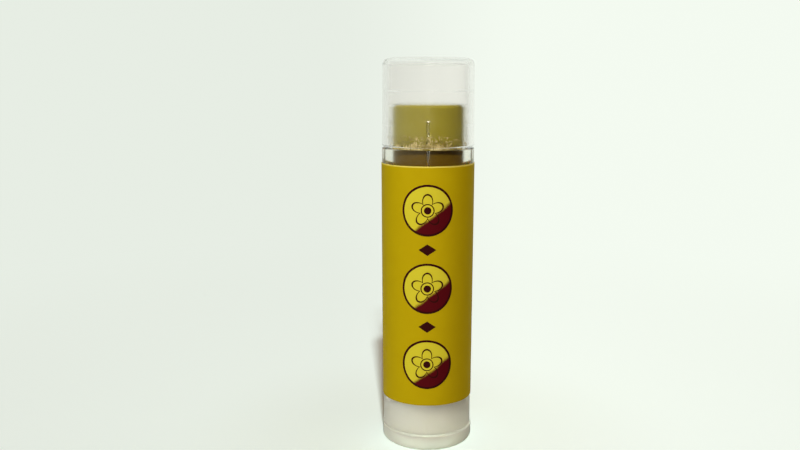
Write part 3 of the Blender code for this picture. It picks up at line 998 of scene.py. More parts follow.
@dataclass(frozen=True)
class PrintedFilm:
    """Mustard film with a generic print: round badges with a blossom, and small lozenges between them.

    The print is drawn on the label's own map, in millimetres from the middle of the front.
    """

    name: str = "label_film"
    ground: Colour = (0.440, 0.345, 0.003)
    ground_deep: Colour = (0.395, 0.292, 0.002)
    fill: Colour = (0.56, 0.51, 0.030)
    ink: Colour = (0.030, 0.004, 0.004)
    berry: Colour = (0.075, 0.003, 0.006)
    bare: Colour = (0.66, 0.58, 0.10)
    smoothest: float = 0.46
    roughest: float = 0.60
    gloss: float = 0.03
    relief_strength: float = 0.08
    relief_depth: float = 0.02
    arc_length: float = 50.0
    height: float = 41.6
    margin: float = 0.22
    badges: int = 3
    badge_pitch: float = 13.4
    badge_radius: float = 4.2
    line: float = 0.38
    petals: float = 5.0
    petal_reach: float = 2.7
    petal_swell_share: float = 0.52
    petal_line_share: float = 0.8
    eye_radius: float = 0.62
    eye_ring_share: float = 1.7
    eye_line_share: float = 0.5
    berry_slope: float = 1.3
    berry_ragged: float = 2.0
    berry_start: float = 2.6
    berry_end: float = 3.8
    lozenge_size: float = 1.5
    lozenge_slope: float = 1.5
    lozenge_room: float = 1.0

    def build(self, effects: Effects) -> Material:
        """Builds the material.

        Args:
            effects: The shared effects.

        Returns:
            The material.
        """
        paint = Paint(self.name)
        wrap = paint.node("ShaderNodeUVMap", uv_map="wrap").outputs["UV"]
        mapping = paint.node("ShaderNodeMapping")
        mapping.inputs["Location"].default_value = (-self.arc_length / 2.0, -self.height / 2.0, 0.0)
        mapping.inputs["Scale"].default_value = (self.arc_length, self.height, 1.0)
        paint.feed(mapping.inputs["Vector"], wrap)
        place = mapping.outputs["Vector"]
        mottle = paint.effect(effects.mottle, place)
        mask = mottle.outputs["Mask"]
        across, up, _ = paint.axes(place)
        pitch = self.badge_pitch
        level = paint.sum("WRAP", up, pitch / 2.0, -pitch / 2.0)
        in_column = paint.sum("LESS_THAN", paint.sum("ABSOLUTE", up), pitch * self.badges / 2.0)
        colour = paint.shades(mask, self.ground, self.ground_deep)
        colour = self.badge(paint, colour, mask, across, level, in_column)
        colour = self.lozenge(paint, colour, across, up)
        edge = paint.sum("GREATER_THAN", up, self.height / 2.0 - self.margin)
        colour = paint.blend(edge, colour, (*self.bare, 1.0))
        paint.put(
            Base_Color=colour,
            Roughness=paint.scaled(mask, self.smoothest, self.roughest),
            Specular_IOR_Level=self.gloss,
        )
        paint.bump(mottle.outputs["Height"], self.relief_strength, self.relief_depth)
        return paint.material

    def badge(
        self,
        paint: Paint,
        under: Socket,
        mask: Socket,
        x: Socket,
        y: Socket,
        within: Socket,
    ) -> Socket:
        """Draws the round badge with its blossom.

        Args:
            paint: The material's tree.
            under: The colour below the badge.
            mask: The mottle, which makes the berry shade ragged.
            x: The place across, from the badge's middle.
            y: The place upwards, from the badge's middle.
            within: 1 where badges are printed.

        Returns:
            The new colour.
        """
        far = paint.sum("SQRT", paint.sum("ADD", paint.sum("MULTIPLY", x, x), paint.sum("MULTIPLY", y, y)))
        turn = paint.sum("ARCTAN2", x, y)
        disc = paint.sum("MULTIPLY", paint.sum("LESS_THAN", far, self.badge_radius), within)
        slope = paint.sum("SUBTRACT", x, paint.sum("MULTIPLY", y, self.berry_slope))
        ragged = paint.sum("MULTIPLY_ADD", mask, self.berry_ragged, slope)
        shaded = paint.ramp(ragged, self.berry_start, self.berry_end)
        inside = paint.shades(shaded, self.fill, self.berry)
        wave = paint.sum("ABSOLUTE", paint.sum("COSINE", paint.sum("MULTIPLY", turn, self.petals / 2.0)))
        swell = paint.sum("MULTIPLY_ADD", wave, self.petal_swell_share, 1.0 - self.petal_swell_share)
        from_petals = paint.sum("SUBTRACT", far, paint.sum("MULTIPLY", swell, self.petal_reach))
        inside = self.ring(paint, inside, from_petals, self.line * self.petal_line_share)
        from_eye_ring = paint.sum("SUBTRACT", far, self.eye_radius * self.eye_ring_share)
        inside = self.ring(paint, inside, from_eye_ring, self.line * self.eye_line_share)
        eye = paint.sum("LESS_THAN", far, self.eye_radius)
        inside = paint.blend(eye, inside, (*self.ink, 1.0))
        colour = paint.blend(disc, under, inside)
        rim = paint.sum("ABSOLUTE", paint.sum("SUBTRACT", far, self.badge_radius))
        rim = paint.sum("MULTIPLY", paint.sum("LESS_THAN", rim, self.line / 2.0), within)
        return paint.blend(rim, colour, (*self.ink, 1.0))

    def ring(self, paint: Paint, under: Socket, distance: Socket, width: float) -> Socket:
        """Draws an ink line where a distance is near zero."""
        on_line = paint.sum("LESS_THAN", paint.sum("ABSOLUTE", distance), width / 2.0)
        return paint.blend(on_line, under, (*self.ink, 1.0))

    def lozenge(self, paint: Paint, under: Socket, x: Socket, y: Socket) -> Socket:
        """Draws the small lozenges that stand between the badges.

        Args:
            paint: The material's tree.
            under: The colour below them.
            x: The place across, from the column's middle.
            y: The place upwards, from the label's middle.

        Returns:
            The new colour.
        """
        pitch = self.badge_pitch
        level = paint.sum("WRAP", paint.sum("ADD", y, pitch / 2.0), pitch / 2.0, -pitch / 2.0)
        reach = pitch * (self.badges - 1) / 2.0 + self.lozenge_room
        within = paint.sum("LESS_THAN", paint.sum("ABSOLUTE", y), reach)
        across = paint.sum("ABSOLUTE", x)
        size = paint.sum("MULTIPLY_ADD", paint.sum("ABSOLUTE", level), self.lozenge_slope, across)
        mark = paint.sum("MULTIPLY", paint.sum("LESS_THAN", size, self.lozenge_size), within)
        return paint.blend(mark, under, (*self.ink, 1.0))


@dataclass(frozen=True)
class FilmEdge:
    """The film's cut edge and its unprinted back, which show the pale stock."""

    name: str = "film_edge"
    light: Colour = (0.80, 0.74, 0.28)
    dark: Colour = (0.66, 0.58, 0.18)
    fine: float = 3000.0
    broad: float = 300.0
    smoothest: float = 0.5
    roughest: float = 0.65
    glow_depth: float = 0.2
    glow_colour: Colour = (1.0, 0.8, 0.4)
    relief_strength: float = 0.2
    relief_depth: float = 0.02

    def build(self, effects: Effects) -> Material:
        """Builds the material.

        Args:
            effects: The shared effects.

        Returns:
            The material.
        """
        paint = Paint(self.name)
        mottle = paint.effect(effects.mottle, paint.object_place(), Fine=self.fine, Broad=self.broad)
        mask = mottle.outputs["Mask"]
        paint.put(
            Base_Color=paint.shades(mask, self.light, self.dark),
            Roughness=paint.scaled(mask, self.smoothest, self.roughest),
            Subsurface_Weight=1.0,
            Subsurface_Scale=self.glow_depth * MM,
            Subsurface_Radius=self.glow_colour,
        )
        paint.bump(mottle.outputs["Height"], self.relief_strength, self.relief_depth)
        return paint.material


@dataclass(frozen=True)
class Workshop:
    """What every sub-assembly needs: the finishes and the Geometry Nodes trees."""

    cap_plastic: Material
    barrel_plastic: Material
    foot_plastic: Material
    wheel_plastic: Material
    cup_plastic: Material
    wax: Material
    crumbs: Material
    film: Material
    film_edge: Material
    flutes: bpy.types.NodeTree
    thread: bpy.types.NodeTree
    scatter: bpy.types.NodeTree

    @classmethod
    def build(cls) -> "Workshop":
        """Builds every finish and tree once."""
        effects = Effects.build()
        clear_cap = ClearPlastic("cap_plastic", tint=(0.99, 0.968, 0.96), smoothest=0.14, roughest=0.22)
        clear_barrel = ClearPlastic("barrel_plastic", tint=(0.94, 0.93, 0.85), smoothest=0.11, roughest=0.19)
        milky_foot = ClearPlastic(
            "foot_plastic",
            tint=(0.93, 0.98, 0.89),
            smoothest=0.40,
            roughest=0.52,
            clarity=0.50,
            glow_depth=9.0,
        )
        milky_wheel = ClearPlastic(
            "wheel_plastic",
            tint=(0.89, 0.93, 0.84),
            smoothest=0.36,
            roughest=0.46,
            clarity=0.56,
            glow_depth=9.0,
        )
        return cls(
            cap_plastic=clear_cap.build(effects),
            barrel_plastic=clear_barrel.build(effects),
            foot_plastic=milky_foot.build(effects),
            wheel_plastic=milky_wheel.build(effects),
            cup_plastic=NaturalPlastic().build(effects),
            wax=BalmWax().build(effects),
            crumbs=CrumbWax().build(effects),
            film=PrintedFilm().build(effects),
            film_edge=FilmEdge().build(effects),
            flutes=flute_tree(),
            thread=thread_tree(),
            scatter=crumb_tree(),
        )


def settle(piece: bpy.types.Object, body: Body, replaced: str | None = None) -> None:
    """Says what a finished piece rides on and which node it stands for, and logs its triangles."""
    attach(piece, body.value)
    if replaced:
        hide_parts(replaced)
    piece.data.calc_loop_triangles()
    LOG.info("%s: %d triangles on %s", piece.name, len(piece.data.loop_triangles), body.value)


@dataclass
class Screw:
    """The propel screw's sizes, shared by the screw itself and by the hub that it turns in."""

    core: float = 1.55
    depth: float = 0.80
    root_width: float = 1.50
    crest_width: float = 0.70
    lead: float = 4.0
    start: float = 3.80
    turns: int = 11
    run_out: float = 1.0 / 3.0
    pitch: float = 0.20
    wall_reach: float = 0.02

    def cut(
        self,
        piece: bpy.types.Object,
        tree: bpy.types.NodeTree,
        material: Material,
        fit: float,
    ) -> None:
        """Raises the ridge on a piece's core wall.

        Args:
            piece: The piece.
            tree: The thread's tree.
            material: The piece's finish.
            fit: How much larger the thread is all over, in millimetres.
        """
        lengths = {
            "Wall Radius": self.core + fit,
            "Reach": self.wall_reach,
            "Depth": self.depth,
            "Root Width": self.root_width + 2.0 * fit,
            "Crest Width": self.crest_width + 2.0 * fit,
            "Lead": self.lead,
            "Start": self.start,
        }
        run_tree(piece, tree, material, lengths, {"Turns": float(self.turns), "Run Out": self.run_out})


@dataclass
class Wheel:
    """The wheel at the foot, its snap collar and its screw, which are one moulding."""

    span: Span = field(default_factory=lambda: Span.of("dial_spindle"))
    screw: Screw = field(default_factory=Screw)
    height: float = 2.80
    edge_fillet: float = 1.30
    recess: float = 1.30
    recess_draft: float = 0.15
    ring_width: float = 1.10
    floor: float = 1.00
    collar_radius: float = 6.08
    collar_wall: float = 0.95
    barb_bottom: float = 4.52
    barb_length: float = 0.90
    barb_height: float = 0.28
    barb_point: float = 0.12
    core_flare: float = 0.35
    tip_chamfer: float = 0.45
    gate_radius: float = 0.55
    gate_depth: float = 0.12
    fine_fillet: float = 0.05
    foot_fillet: float = 0.15
    root_fillet: float = 0.25
    top_fillet: float = 0.18
    collar_fillet: float = 0.08
    end_fillet: float = 0.10
    flare_fillet: float = 0.30

    def build(self, shop: Workshop) -> None:
        """Builds and dresses the moulding.

        Args:
            shop: The finishes and trees.
        """
        outer = self.span.radius
        ring_outer = outer - self.edge_fillet
        ring_inner = ring_outer - self.ring_width
        inner_collar = self.collar_radius - self.collar_wall
        barb_radius = self.collar_radius + self.barb_height + self.barb_point
        collar_top = self.barb_bottom + self.barb_length
        well = self.recess + self.floor
        core = self.screw.core
        tip = self.span.top
        corners = [
            Corner(0.0, self.recess + self.gate_depth),
            Corner(self.gate_radius, self.recess + self.gate_depth, self.fine_fillet),
            Corner(self.gate_radius, self.recess, self.fine_fillet),
            Corner(ring_inner - self.recess_draft, self.recess, self.root_fillet),
            Corner(ring_inner, 0.0, self.foot_fillet),
            Corner(outer, 0.0, self.edge_fillet),
            Corner(outer, self.height, self.top_fillet),
            Corner(self.collar_radius, self.height, self.collar_fillet),
            Corner(self.collar_radius, self.barb_bottom, self.fine_fillet),
            Corner(barb_radius, self.barb_bottom, self.fine_fillet),
            Corner(barb_radius, self.barb_bottom + self.barb_length / 2.0, self.foot_fillet),
            Corner(self.collar_radius - self.barb_height, collar_top, self.end_fillet),
            Corner(inner_collar, collar_top, self.end_fillet),
            Corner(inner_collar, well, self.root_fillet),
            Corner(core + self.core_flare, well, self.flare_fillet),
            *wall(core, well + self.core_flare, tip - self.tip_chamfer, self.screw.pitch),
            Corner(core - self.tip_chamfer, tip, self.end_fillet),
            Corner(0.0, tip),
        ]
        piece = lathe("wheel_and_screw", corners)
        self.screw.cut(piece, shop.thread, shop.wheel_plastic, 0.0)
        settle(piece, Body.WHEEL, "dial_spindle")


@dataclass
class Ribs:
    """The guide ribs in the bore, and the flutes that clear them."""

    count: int = 4
    height: float = 0.35
    width: float = 0.60
    flank: float = 0.26
    fit: float = 0.12
    edge: float = 0.06
    bore: float = 6.20
    bottom: float = 6.12
    top: float = 57.30
    run_out: float = 0.30

    def profile(self, clearance: float, rounded: bool) -> tuple[float, float]:
        """Returns half the crest's width and the flank's width of a rib, or of a flute that clears it.

        Args:
            clearance: How much wider each side is than the rib, in millimetres.
            rounded: Whether the crest is rounded over to the foot, as the rib's own is.

        Returns:
            The two widths, in millimetres.
        """
        flank = self.flank if rounded else self.edge
        inset = self.flank if rounded else 0.0
        return self.width / 2.0 + clearance - inset, flank

    def angles(self, clearance: float, rounded: bool = False) -> np.ndarray:
        """Returns the angles that a fluted or ribbed wall needs."""
        half, flank = self.profile(clearance, rounded)
        return angles_with_edges(self.count, FRONT, half, flank, self.bore)

    def cut(
        self,
        piece: bpy.types.Object,
        shop: Workshop,
        material: Material,
        wall_radius: float,
        growth: float,
        clearance: float,
        reach: tuple[float, float],
        rounded: bool = False,
        depth_of_wall: float = 0.03,
    ) -> None:
        """Runs the ribs or flutes along a piece's wall.

        Args:
            piece: The piece.
            shop: The finishes and trees.
            material: The piece's finish.
            wall_radius: The wall's radius, in millimetres.
            growth: How far the wall moves outwards, in millimetres.
            clearance: How much wider each side is than the rib, in millimetres.
            reach: The lowest and highest end, in millimetres.
            rounded: Whether the crest is rounded over to the foot.
            depth_of_wall: How far from its radius the wall's rounded ends reach, in millimetres.
        """
        half, flank = self.profile(clearance, rounded)
        lengths = {
            "Wall Radius": wall_radius,
            "Reach": depth_of_wall,
            "Growth": growth,
            "Half Width": half,
            "Edge": flank,
            "Bottom": reach[0],
            "Top": reach[1],
            "Run Out": self.run_out,
        }
        run_tree(piece, shop.flutes, material, lengths, {"Count": self.count, "First Angle": 0.0})


@dataclass
class Barrel:
    """The clear barrel: drafted wall, shoulder, neck with ring and snap bead, ribbed bore and inward lip."""

    span: Span = field(default_factory=lambda: Span.of("barrel"))
    ribs: Ribs = field(default_factory=Ribs)
    foot_radius: float = 7.80
    shoulder_radius: float = 8.00
    neck_radius: float = 6.86
    neck_length: float = 7.40
    ring_rise: float = 2.25
    ring_length: float = 0.60
    ring_height: float = 0.08
    bead_rise: float = 4.35
    bead_length: float = 1.30
    bead_height: float = 0.12
    rim_drop: float = 0.40
    rim_width: float = 0.25
    lip_height: float = 1.40
    lip_chamfer: float = 0.25
    chamber_top: float = 2.82
    chamber_room: float = 0.40
    chamber_radius: float = 6.60
    frost_top: float = 8.90
    foot_fillet: float = 0.15
    shoulder_fillet: float = 0.22
    neck_fillet: float = 0.10
    rim_fillet: float = 0.15
    rim_edge_fillet: float = 0.12
    chamber_fillet: float = 0.08

    def corners(self) -> list[Corner]:
        """Returns the barrel's outline, in millimetres."""
        foot = self.span.bottom
        rim = self.span.top
        shoulder = rim - self.neck_length
        neck = self.neck_radius
        bore = self.ribs.bore
        bottom = self.ribs.bottom
        top = self.ribs.top
        run = self.ribs.run_out
        return [
            Corner(self.foot_radius, foot, self.foot_fillet),
            Corner(self.outer_radius(self.frost_top), self.frost_top),
            Corner(self.shoulder_radius, shoulder, self.shoulder_fillet),
            Corner(neck, shoulder, self.neck_fillet),
            *bead(neck, shoulder + self.ring_rise, self.ring_length, self.ring_height),
            *bead(neck, shoulder + self.bead_rise, self.bead_length, self.bead_height),
            Corner(neck, rim - self.rim_drop, self.rim_fillet),
            Corner(neck - self.rim_width, rim, self.rim_edge_fillet),
            Corner(bore, rim, self.rim_fillet),
            Corner(bore, top),
            Corner(bore, top - run),
            Corner(bore, (top + bottom) / 2.0),
            Corner(bore, self.frost_top),
            Corner(bore, bottom + run),
            Corner(bore, bottom),
            Corner(bore, foot + self.chamber_top, self.chamber_fillet),
            Corner(self.chamber_radius, foot + self.chamber_top - self.chamber_room, self.chamber_fillet),
            Corner(self.chamber_radius, foot + self.lip_height, self.chamber_fillet),
            Corner(bore, foot + self.lip_height, self.chamber_fillet),
            Corner(bore, foot + self.lip_chamfer),
            Corner(bore + self.lip_chamfer, foot),
        ]

    def build(self, shop: Workshop) -> None:
        """Builds and dresses the barrel.

        Args:
            shop: The finishes and trees.
        """
        ribs = self.ribs
        piece = lathe("barrel_tube", self.corners(), closed=True, angles=ribs.angles(0.0, rounded=True))
        reach = (ribs.bottom, ribs.top)
        ribs.cut(piece, shop, shop.barrel_plastic, ribs.bore, -ribs.height, 0.0, reach, rounded=True)
        self.frost_foot(piece.data, shop.foot_plastic)
        settle(piece, Body.BARREL, "barrel")

    def frost_foot(self, mesh: bpy.types.Mesh, material: Material) -> None:
        """Leaves the foot unpolished, up to a line that the label hides."""
        mesh.materials.append(material)
        for face in mesh.polygons:
            if face.center.z < self.frost_top * MM:
                face.material_index = 1

    def outer_radius(self, height: float) -> float:
        """Returns the drafted wall's outer radius at a height, both in millimetres."""
        shoulder = self.span.top - self.neck_length
        share = (height - self.span.bottom) / (shoulder - self.span.bottom)
        return self.foot_radius + (self.shoulder_radius - self.foot_radius) * share


@dataclass
class WaxSmear:
    """The wax that was squeezed out at the base of the neck: a ragged smear and loose crumbs."""

    barrel: Barrel
    seed: int = 7
    left_end: float = math.radians(-62.0)
    right_end: float = math.radians(56.0)
    columns: int = 260
    rows: int = 10
    bed: float = 0.012
    thickness: float = 0.085
    skin: float = 0.01
    least_height: float = 0.20
    height: float = 1.75
    lumps: int = 14
    least_lump_share: float = 0.35
    ripples: int = 90
    least_ripple_share: float = 0.10
    thick_start: float = 0.15
    thick_start_slope: float = 9.0
    thick_end: float = 0.90
    thick_end_slope: float = 14.0
    thin_share: float = 0.35
    end_slope: float = 12.0
    least_end_share: float = 0.05
    least_top_share: float = 0.02
    crumb_size: float = 0.14
    crumb_thickness: float = 0.035
    crumb_lift_share: float = 1.3
    crumb_height_share: float = 1.2
    crumbs_per_square_mm: float = 26.0
    crumb_angle: float = math.radians(2.0)
    crumb_spread: float = math.radians(80.0)
    least_crumb_share: float = 0.06

    def build(self, shop: Workshop) -> None:
        """Builds and dresses the smear and its crumbs.

        Args:
            shop: The finishes and trees.
        """
        self.build_smear(shop)
        self.build_crumbs(shop)

    def build_smear(self, shop: Workshop) -> None:
        """Builds the smear as one thin closed patch with a ragged upper edge.

        Args:
            shop: The finishes and trees.
        """
        rng = np.random.default_rng(self.seed)
        turn = np.linspace(0.0, 1.0, self.columns)
        angles = FRONT + self.left_end + (self.right_end - self.left_end) * turn
        broad = self.ragged(rng, turn, self.lumps, self.least_lump_share)
        fine = self.ragged(rng, turn, self.ripples, self.least_ripple_share)
        rising = np.tanh((turn - self.thick_start) * self.thick_start_slope)
        falling = np.tanh((self.thick_end - turn) * self.thick_end_slope)
        thick_place = 0.5 + 0.5 * rising * falling
        ends = np.clip(np.minimum(turn, 1.0 - turn) * self.end_slope, self.least_end_share, 1.0)
        fullness = self.thin_share + (1.0 - self.thin_share) * thick_place
        tall = self.least_height + (self.height * broad * fine * fullness) * ends
        bottom = self.barrel.span.top - self.barrel.neck_length + self.bed
        base = self.barrel.neck_radius + self.bed
        inside, outside = [], []
        for row in range(self.rows + 1):
            share = row / self.rows
            height = bottom + tall * share
            lumpy = self.thin_share + (1.0 - self.thin_share) * rng.uniform(0.0, 1.0, self.columns)
            rounded = math.sqrt(max(self.least_top_share, 1.0 - share**3))
            bulge = self.thickness * lumpy * rounded * np.sqrt(ends)
            for store, radius in ((inside, base + 0.0 * turn), (outside, base + self.skin + bulge)):
                store.append(np.stack([radius * np.cos(angles), radius * np.sin(angles), height], axis=1))
        points = np.concatenate([*inside, *outside]) * MM
        faces = shell_faces(self.columns, self.rows + 1)
        piece = add_piece("wax_smear", mesh_from("wax_smear", points, faces))
        piece.data.materials.append(shop.crumbs)
        settle(piece, Body.BARREL)

    def ragged(self, rng: np.random.Generator, turn: np.ndarray, count: int, least: float) -> np.ndarray:
        """Draws random shares at even places, and runs straight between them.

        Args:
            rng: What draws them.
            turn: Where they are wanted, from 0 to 1.
            count: How many are drawn.
            least: The least share.

        Returns:
            The shares at the places in turn.
        """
        return np.interp(turn, np.linspace(0.0, 1.0, count), rng.uniform(least, 1.0, count))

    def build_crumbs(self, shop: Workshop) -> None:
        """Scatters the crumbs on a band round the neck.

        Args:
            shop: The finishes and trees.
        """
        bottom = self.barrel.span.top - self.barrel.neck_length + self.crumb_size
        radius = self.barrel.neck_radius + self.crumb_thickness * self.crumb_lift_share
        top = bottom + self.height * self.crumb_height_share
        angles = round_angles()
        ring = [[(radius * math.cos(a), radius * math.sin(a), z) for a in angles] for z in (bottom, top)]
        rows = len(angles)
        faces = [(i, (i + 1) % rows, rows + (i + 1) % rows, rows + i) for i in range(rows)]
        mesh = bpy.data.meshes.new("wax_crumbs")
        mesh.from_pydata((np.array(ring[0] + ring[1]) * MM).tolist(), [], faces)
        piece = add_piece("wax_crumbs", mesh)
        lengths = {
            "Size": self.crumb_size,
            "Thickness": self.crumb_thickness,
            "Bottom": bottom,
            "Fade Height": top - bottom,
        }
        numbers = {
            "Density": self.crumbs_per_square_mm / (MM * MM),
            "Thick Angle": self.crumb_angle,
            "Spread Angle": self.crumb_spread,
            "Least Share": self.least_crumb_share,
            "Seed": self.seed,
        }
        run_tree(piece, shop.scatter, shop.crumbs, lengths, numbers)
        settle(piece, Body.BARREL)


@dataclass
class Label:
    """The film wrapped once round the barrel, with its end lapped over its start at the back."""

    barrel: Barrel
    span: Span = field(default_factory=lambda: Span.of("label"))
    gap: float = 0.02
    thickness: float = 0.10
    lap: float = math.radians(22.5)
    ramp: float = math.radians(7.5)
    step: float = math.radians(2.5)
    row_pitch: float = 2.0

    def build(self, shop: Workshop) -> None:
        """Builds and dresses the film, with its own map: once round is 0 to 1, and so is its height.

        Args:
            shop: The finishes and trees.
        """
        sweep = math.tau + self.lap
        turns = np.linspace(0.0, sweep, round(sweep / self.step) + 1)
        rise = np.clip((turns - (math.tau - self.ramp)) / self.ramp, 0.0, 1.0)
        lift = (self.thickness + self.gap) * rise * rise * (3.0 - 2.0 * rise)
        tall = self.span.top - self.span.bottom
        heights = np.linspace(self.span.bottom, self.span.top, round(tall / self.row_pitch))
        angles = BACK + turns
        points = []
        for extra in (0.0, self.thickness):
            for height in heights:
                radius = self.barrel.outer_radius(height) + self.gap + lift + extra
                row = [radius * np.cos(angles), radius * np.sin(angles), 0.0 * radius + height]
                points.append(np.stack(row, axis=1))
        faces = shell_faces(len(turns), len(heights))
        piece = add_piece("label_wrap", mesh_from("label_wrap", np.concatenate(points) * MM, faces))
        self.dress(piece, shop, turns, heights)
        settle(piece, Body.BARREL, "label")

    def dress(
        self,
        piece: bpy.types.Object,
        shop: Workshop,
        turns: np.ndarray,
        heights: np.ndarray,
    ) -> None:
        """Maps the film, prints its outer face and leaves its edges and back bare.

        Args:
            piece: The film.
            shop: The finishes and trees.
            turns: How far round each column lies.
            heights: The height of each row.
        """
        mesh = piece.data
        mesh.materials.append(shop.film)
        mesh.materials.append(shop.film_edge)
        wrap = mesh.uv_layers.new(name="wrap")
        columns = len(turns)
        layer = columns * len(heights)
        share_up = (heights - heights[0]) / (heights[-1] - heights[0])
        for face in mesh.polygons:
            face.material_index = 0 if min(face.vertices) >= layer else 1
            for loop in face.loop_indices:
                number = mesh.loops[loop].vertex_index % layer
                wrap.data[loop].uv = (turns[number % columns] / math.tau, share_up[number // columns])


@dataclass
class Elevator:
    """The cup that carries the balm: skirt, floor, castellated rim, rib notches and threaded hub."""

    span: Span = field(default_factory=lambda: Span.of("elevator_cup"))
    ribs: Ribs = field(default_factory=Ribs)
    screw: Screw = field(default_factory=Screw)
    radius: float = 6.10
    edge_fillet: float = 0.15
    cup_radius: float = 5.40
    hub_radius: float = 3.30
    hub_setback: float = 0.60
    skirt: float = 2.70
    floor: float = 0.90
    hub_rise: float = 1.80
    slot_width: float = 2.00
    slot_sill: float = 0.80
    slot_edge: float = 0.01
    slot_margin: float = 0.002
    sill_margin: float = 0.02
    wall_margin: float = 0.25
    hub_fillet: float = 0.15
    root_fillet: float = 0.20
    inner_fillet: float = 0.12
    notch_margin: float = 0.01
    fit: float = 0.10
    least_angle: float = math.radians(0.02)

    def build(self, shop: Workshop) -> None:
        """Builds and dresses the cup.

        Args:
            shop: The finishes and trees.
        """
        base = self.span.bottom
        top = self.span.top
        floor_top = base + self.skirt + self.floor
        sill = floor_top + self.slot_sill
        hub_bottom = base + self.hub_setback
        hub_top = floor_top + self.hub_rise
        bore = self.screw.core + self.fit
        corners = [
            *wall(bore, hub_top, hub_bottom, self.screw.pitch),
            Corner(self.hub_radius, hub_bottom, self.hub_fillet),
            Corner(self.hub_radius, base + self.skirt, self.root_fillet),
            Corner(self.cup_radius, base + self.skirt, self.root_fillet),
            Corner(self.cup_radius, base, self.inner_fillet),
            Corner(self.radius, base, self.edge_fillet),
            Corner(self.radius, sill - self.sill_margin),
            Corner(self.radius, top, self.edge_fillet),
            Corner(self.cup_radius, top, self.inner_fillet),
            Corner(self.cup_radius, sill - self.sill_margin),
            Corner(self.cup_radius, floor_top, self.root_fillet),
            Corner(self.hub_radius, floor_top, self.root_fillet),
            Corner(self.hub_radius, hub_top, self.hub_fillet),
        ]
        ribs = self.ribs
        first_slot = FRONT + math.pi / ribs.count
        half_slot = self.slot_width / 2.0
        slots = angles_with_edges(ribs.count, first_slot, half_slot, self.slot_edge, self.radius)
        angles = self.merged(ribs.angles(ribs.fit), slots)
        piece = lathe("elevator", corners, closed=True, angles=angles)
        self.open_slots(piece.data, sill)
        depth = ribs.height + ribs.fit - (ribs.bore - self.radius)
        reach = (base - ribs.run_out, top + ribs.run_out)
        rounded_ends = self.edge_fillet + self.notch_margin
        ribs.cut(
            piece, shop, shop.cup_plastic, self.radius, -depth, ribs.fit, reach, depth_of_wall=rounded_ends
        )
        self.screw.cut(piece, shop.thread, shop.cup_plastic, self.fit)
        settle(piece, Body.STICK, "elevator_cup")

    def merged(self, first: np.ndarray, second: np.ndarray) -> np.ndarray:
        """Returns the angles of two lists once each."""
        both = np.sort(np.concatenate([first, second]) % math.tau)
        keep = np.concatenate([[True], np.diff(both) > self.least_angle])
        return both[keep]

    def open_slots(self, mesh: bpy.types.Mesh, sill: float) -> None:
        """Lowers the rim to the sill where the slots are.

        Args:
            mesh: The cup's mesh.
            sill: The height of the slots' floor, in millimetres.
        """
        pitch = math.tau / self.ribs.count
        for vertex in mesh.vertices:
            x, y, z = vertex.co
            radius = math.hypot(x, y) / MM
            if z / MM <= sill or radius < self.cup_radius - self.wall_margin:
                continue
            from_first = math.atan2(y, x) - FRONT - pitch / 2.0
            across = abs(math.remainder(from_first, pitch)) * self.radius
            if across <= self.slot_width / 2.0 + self.slot_margin:
                vertex.co.z = sill * MM


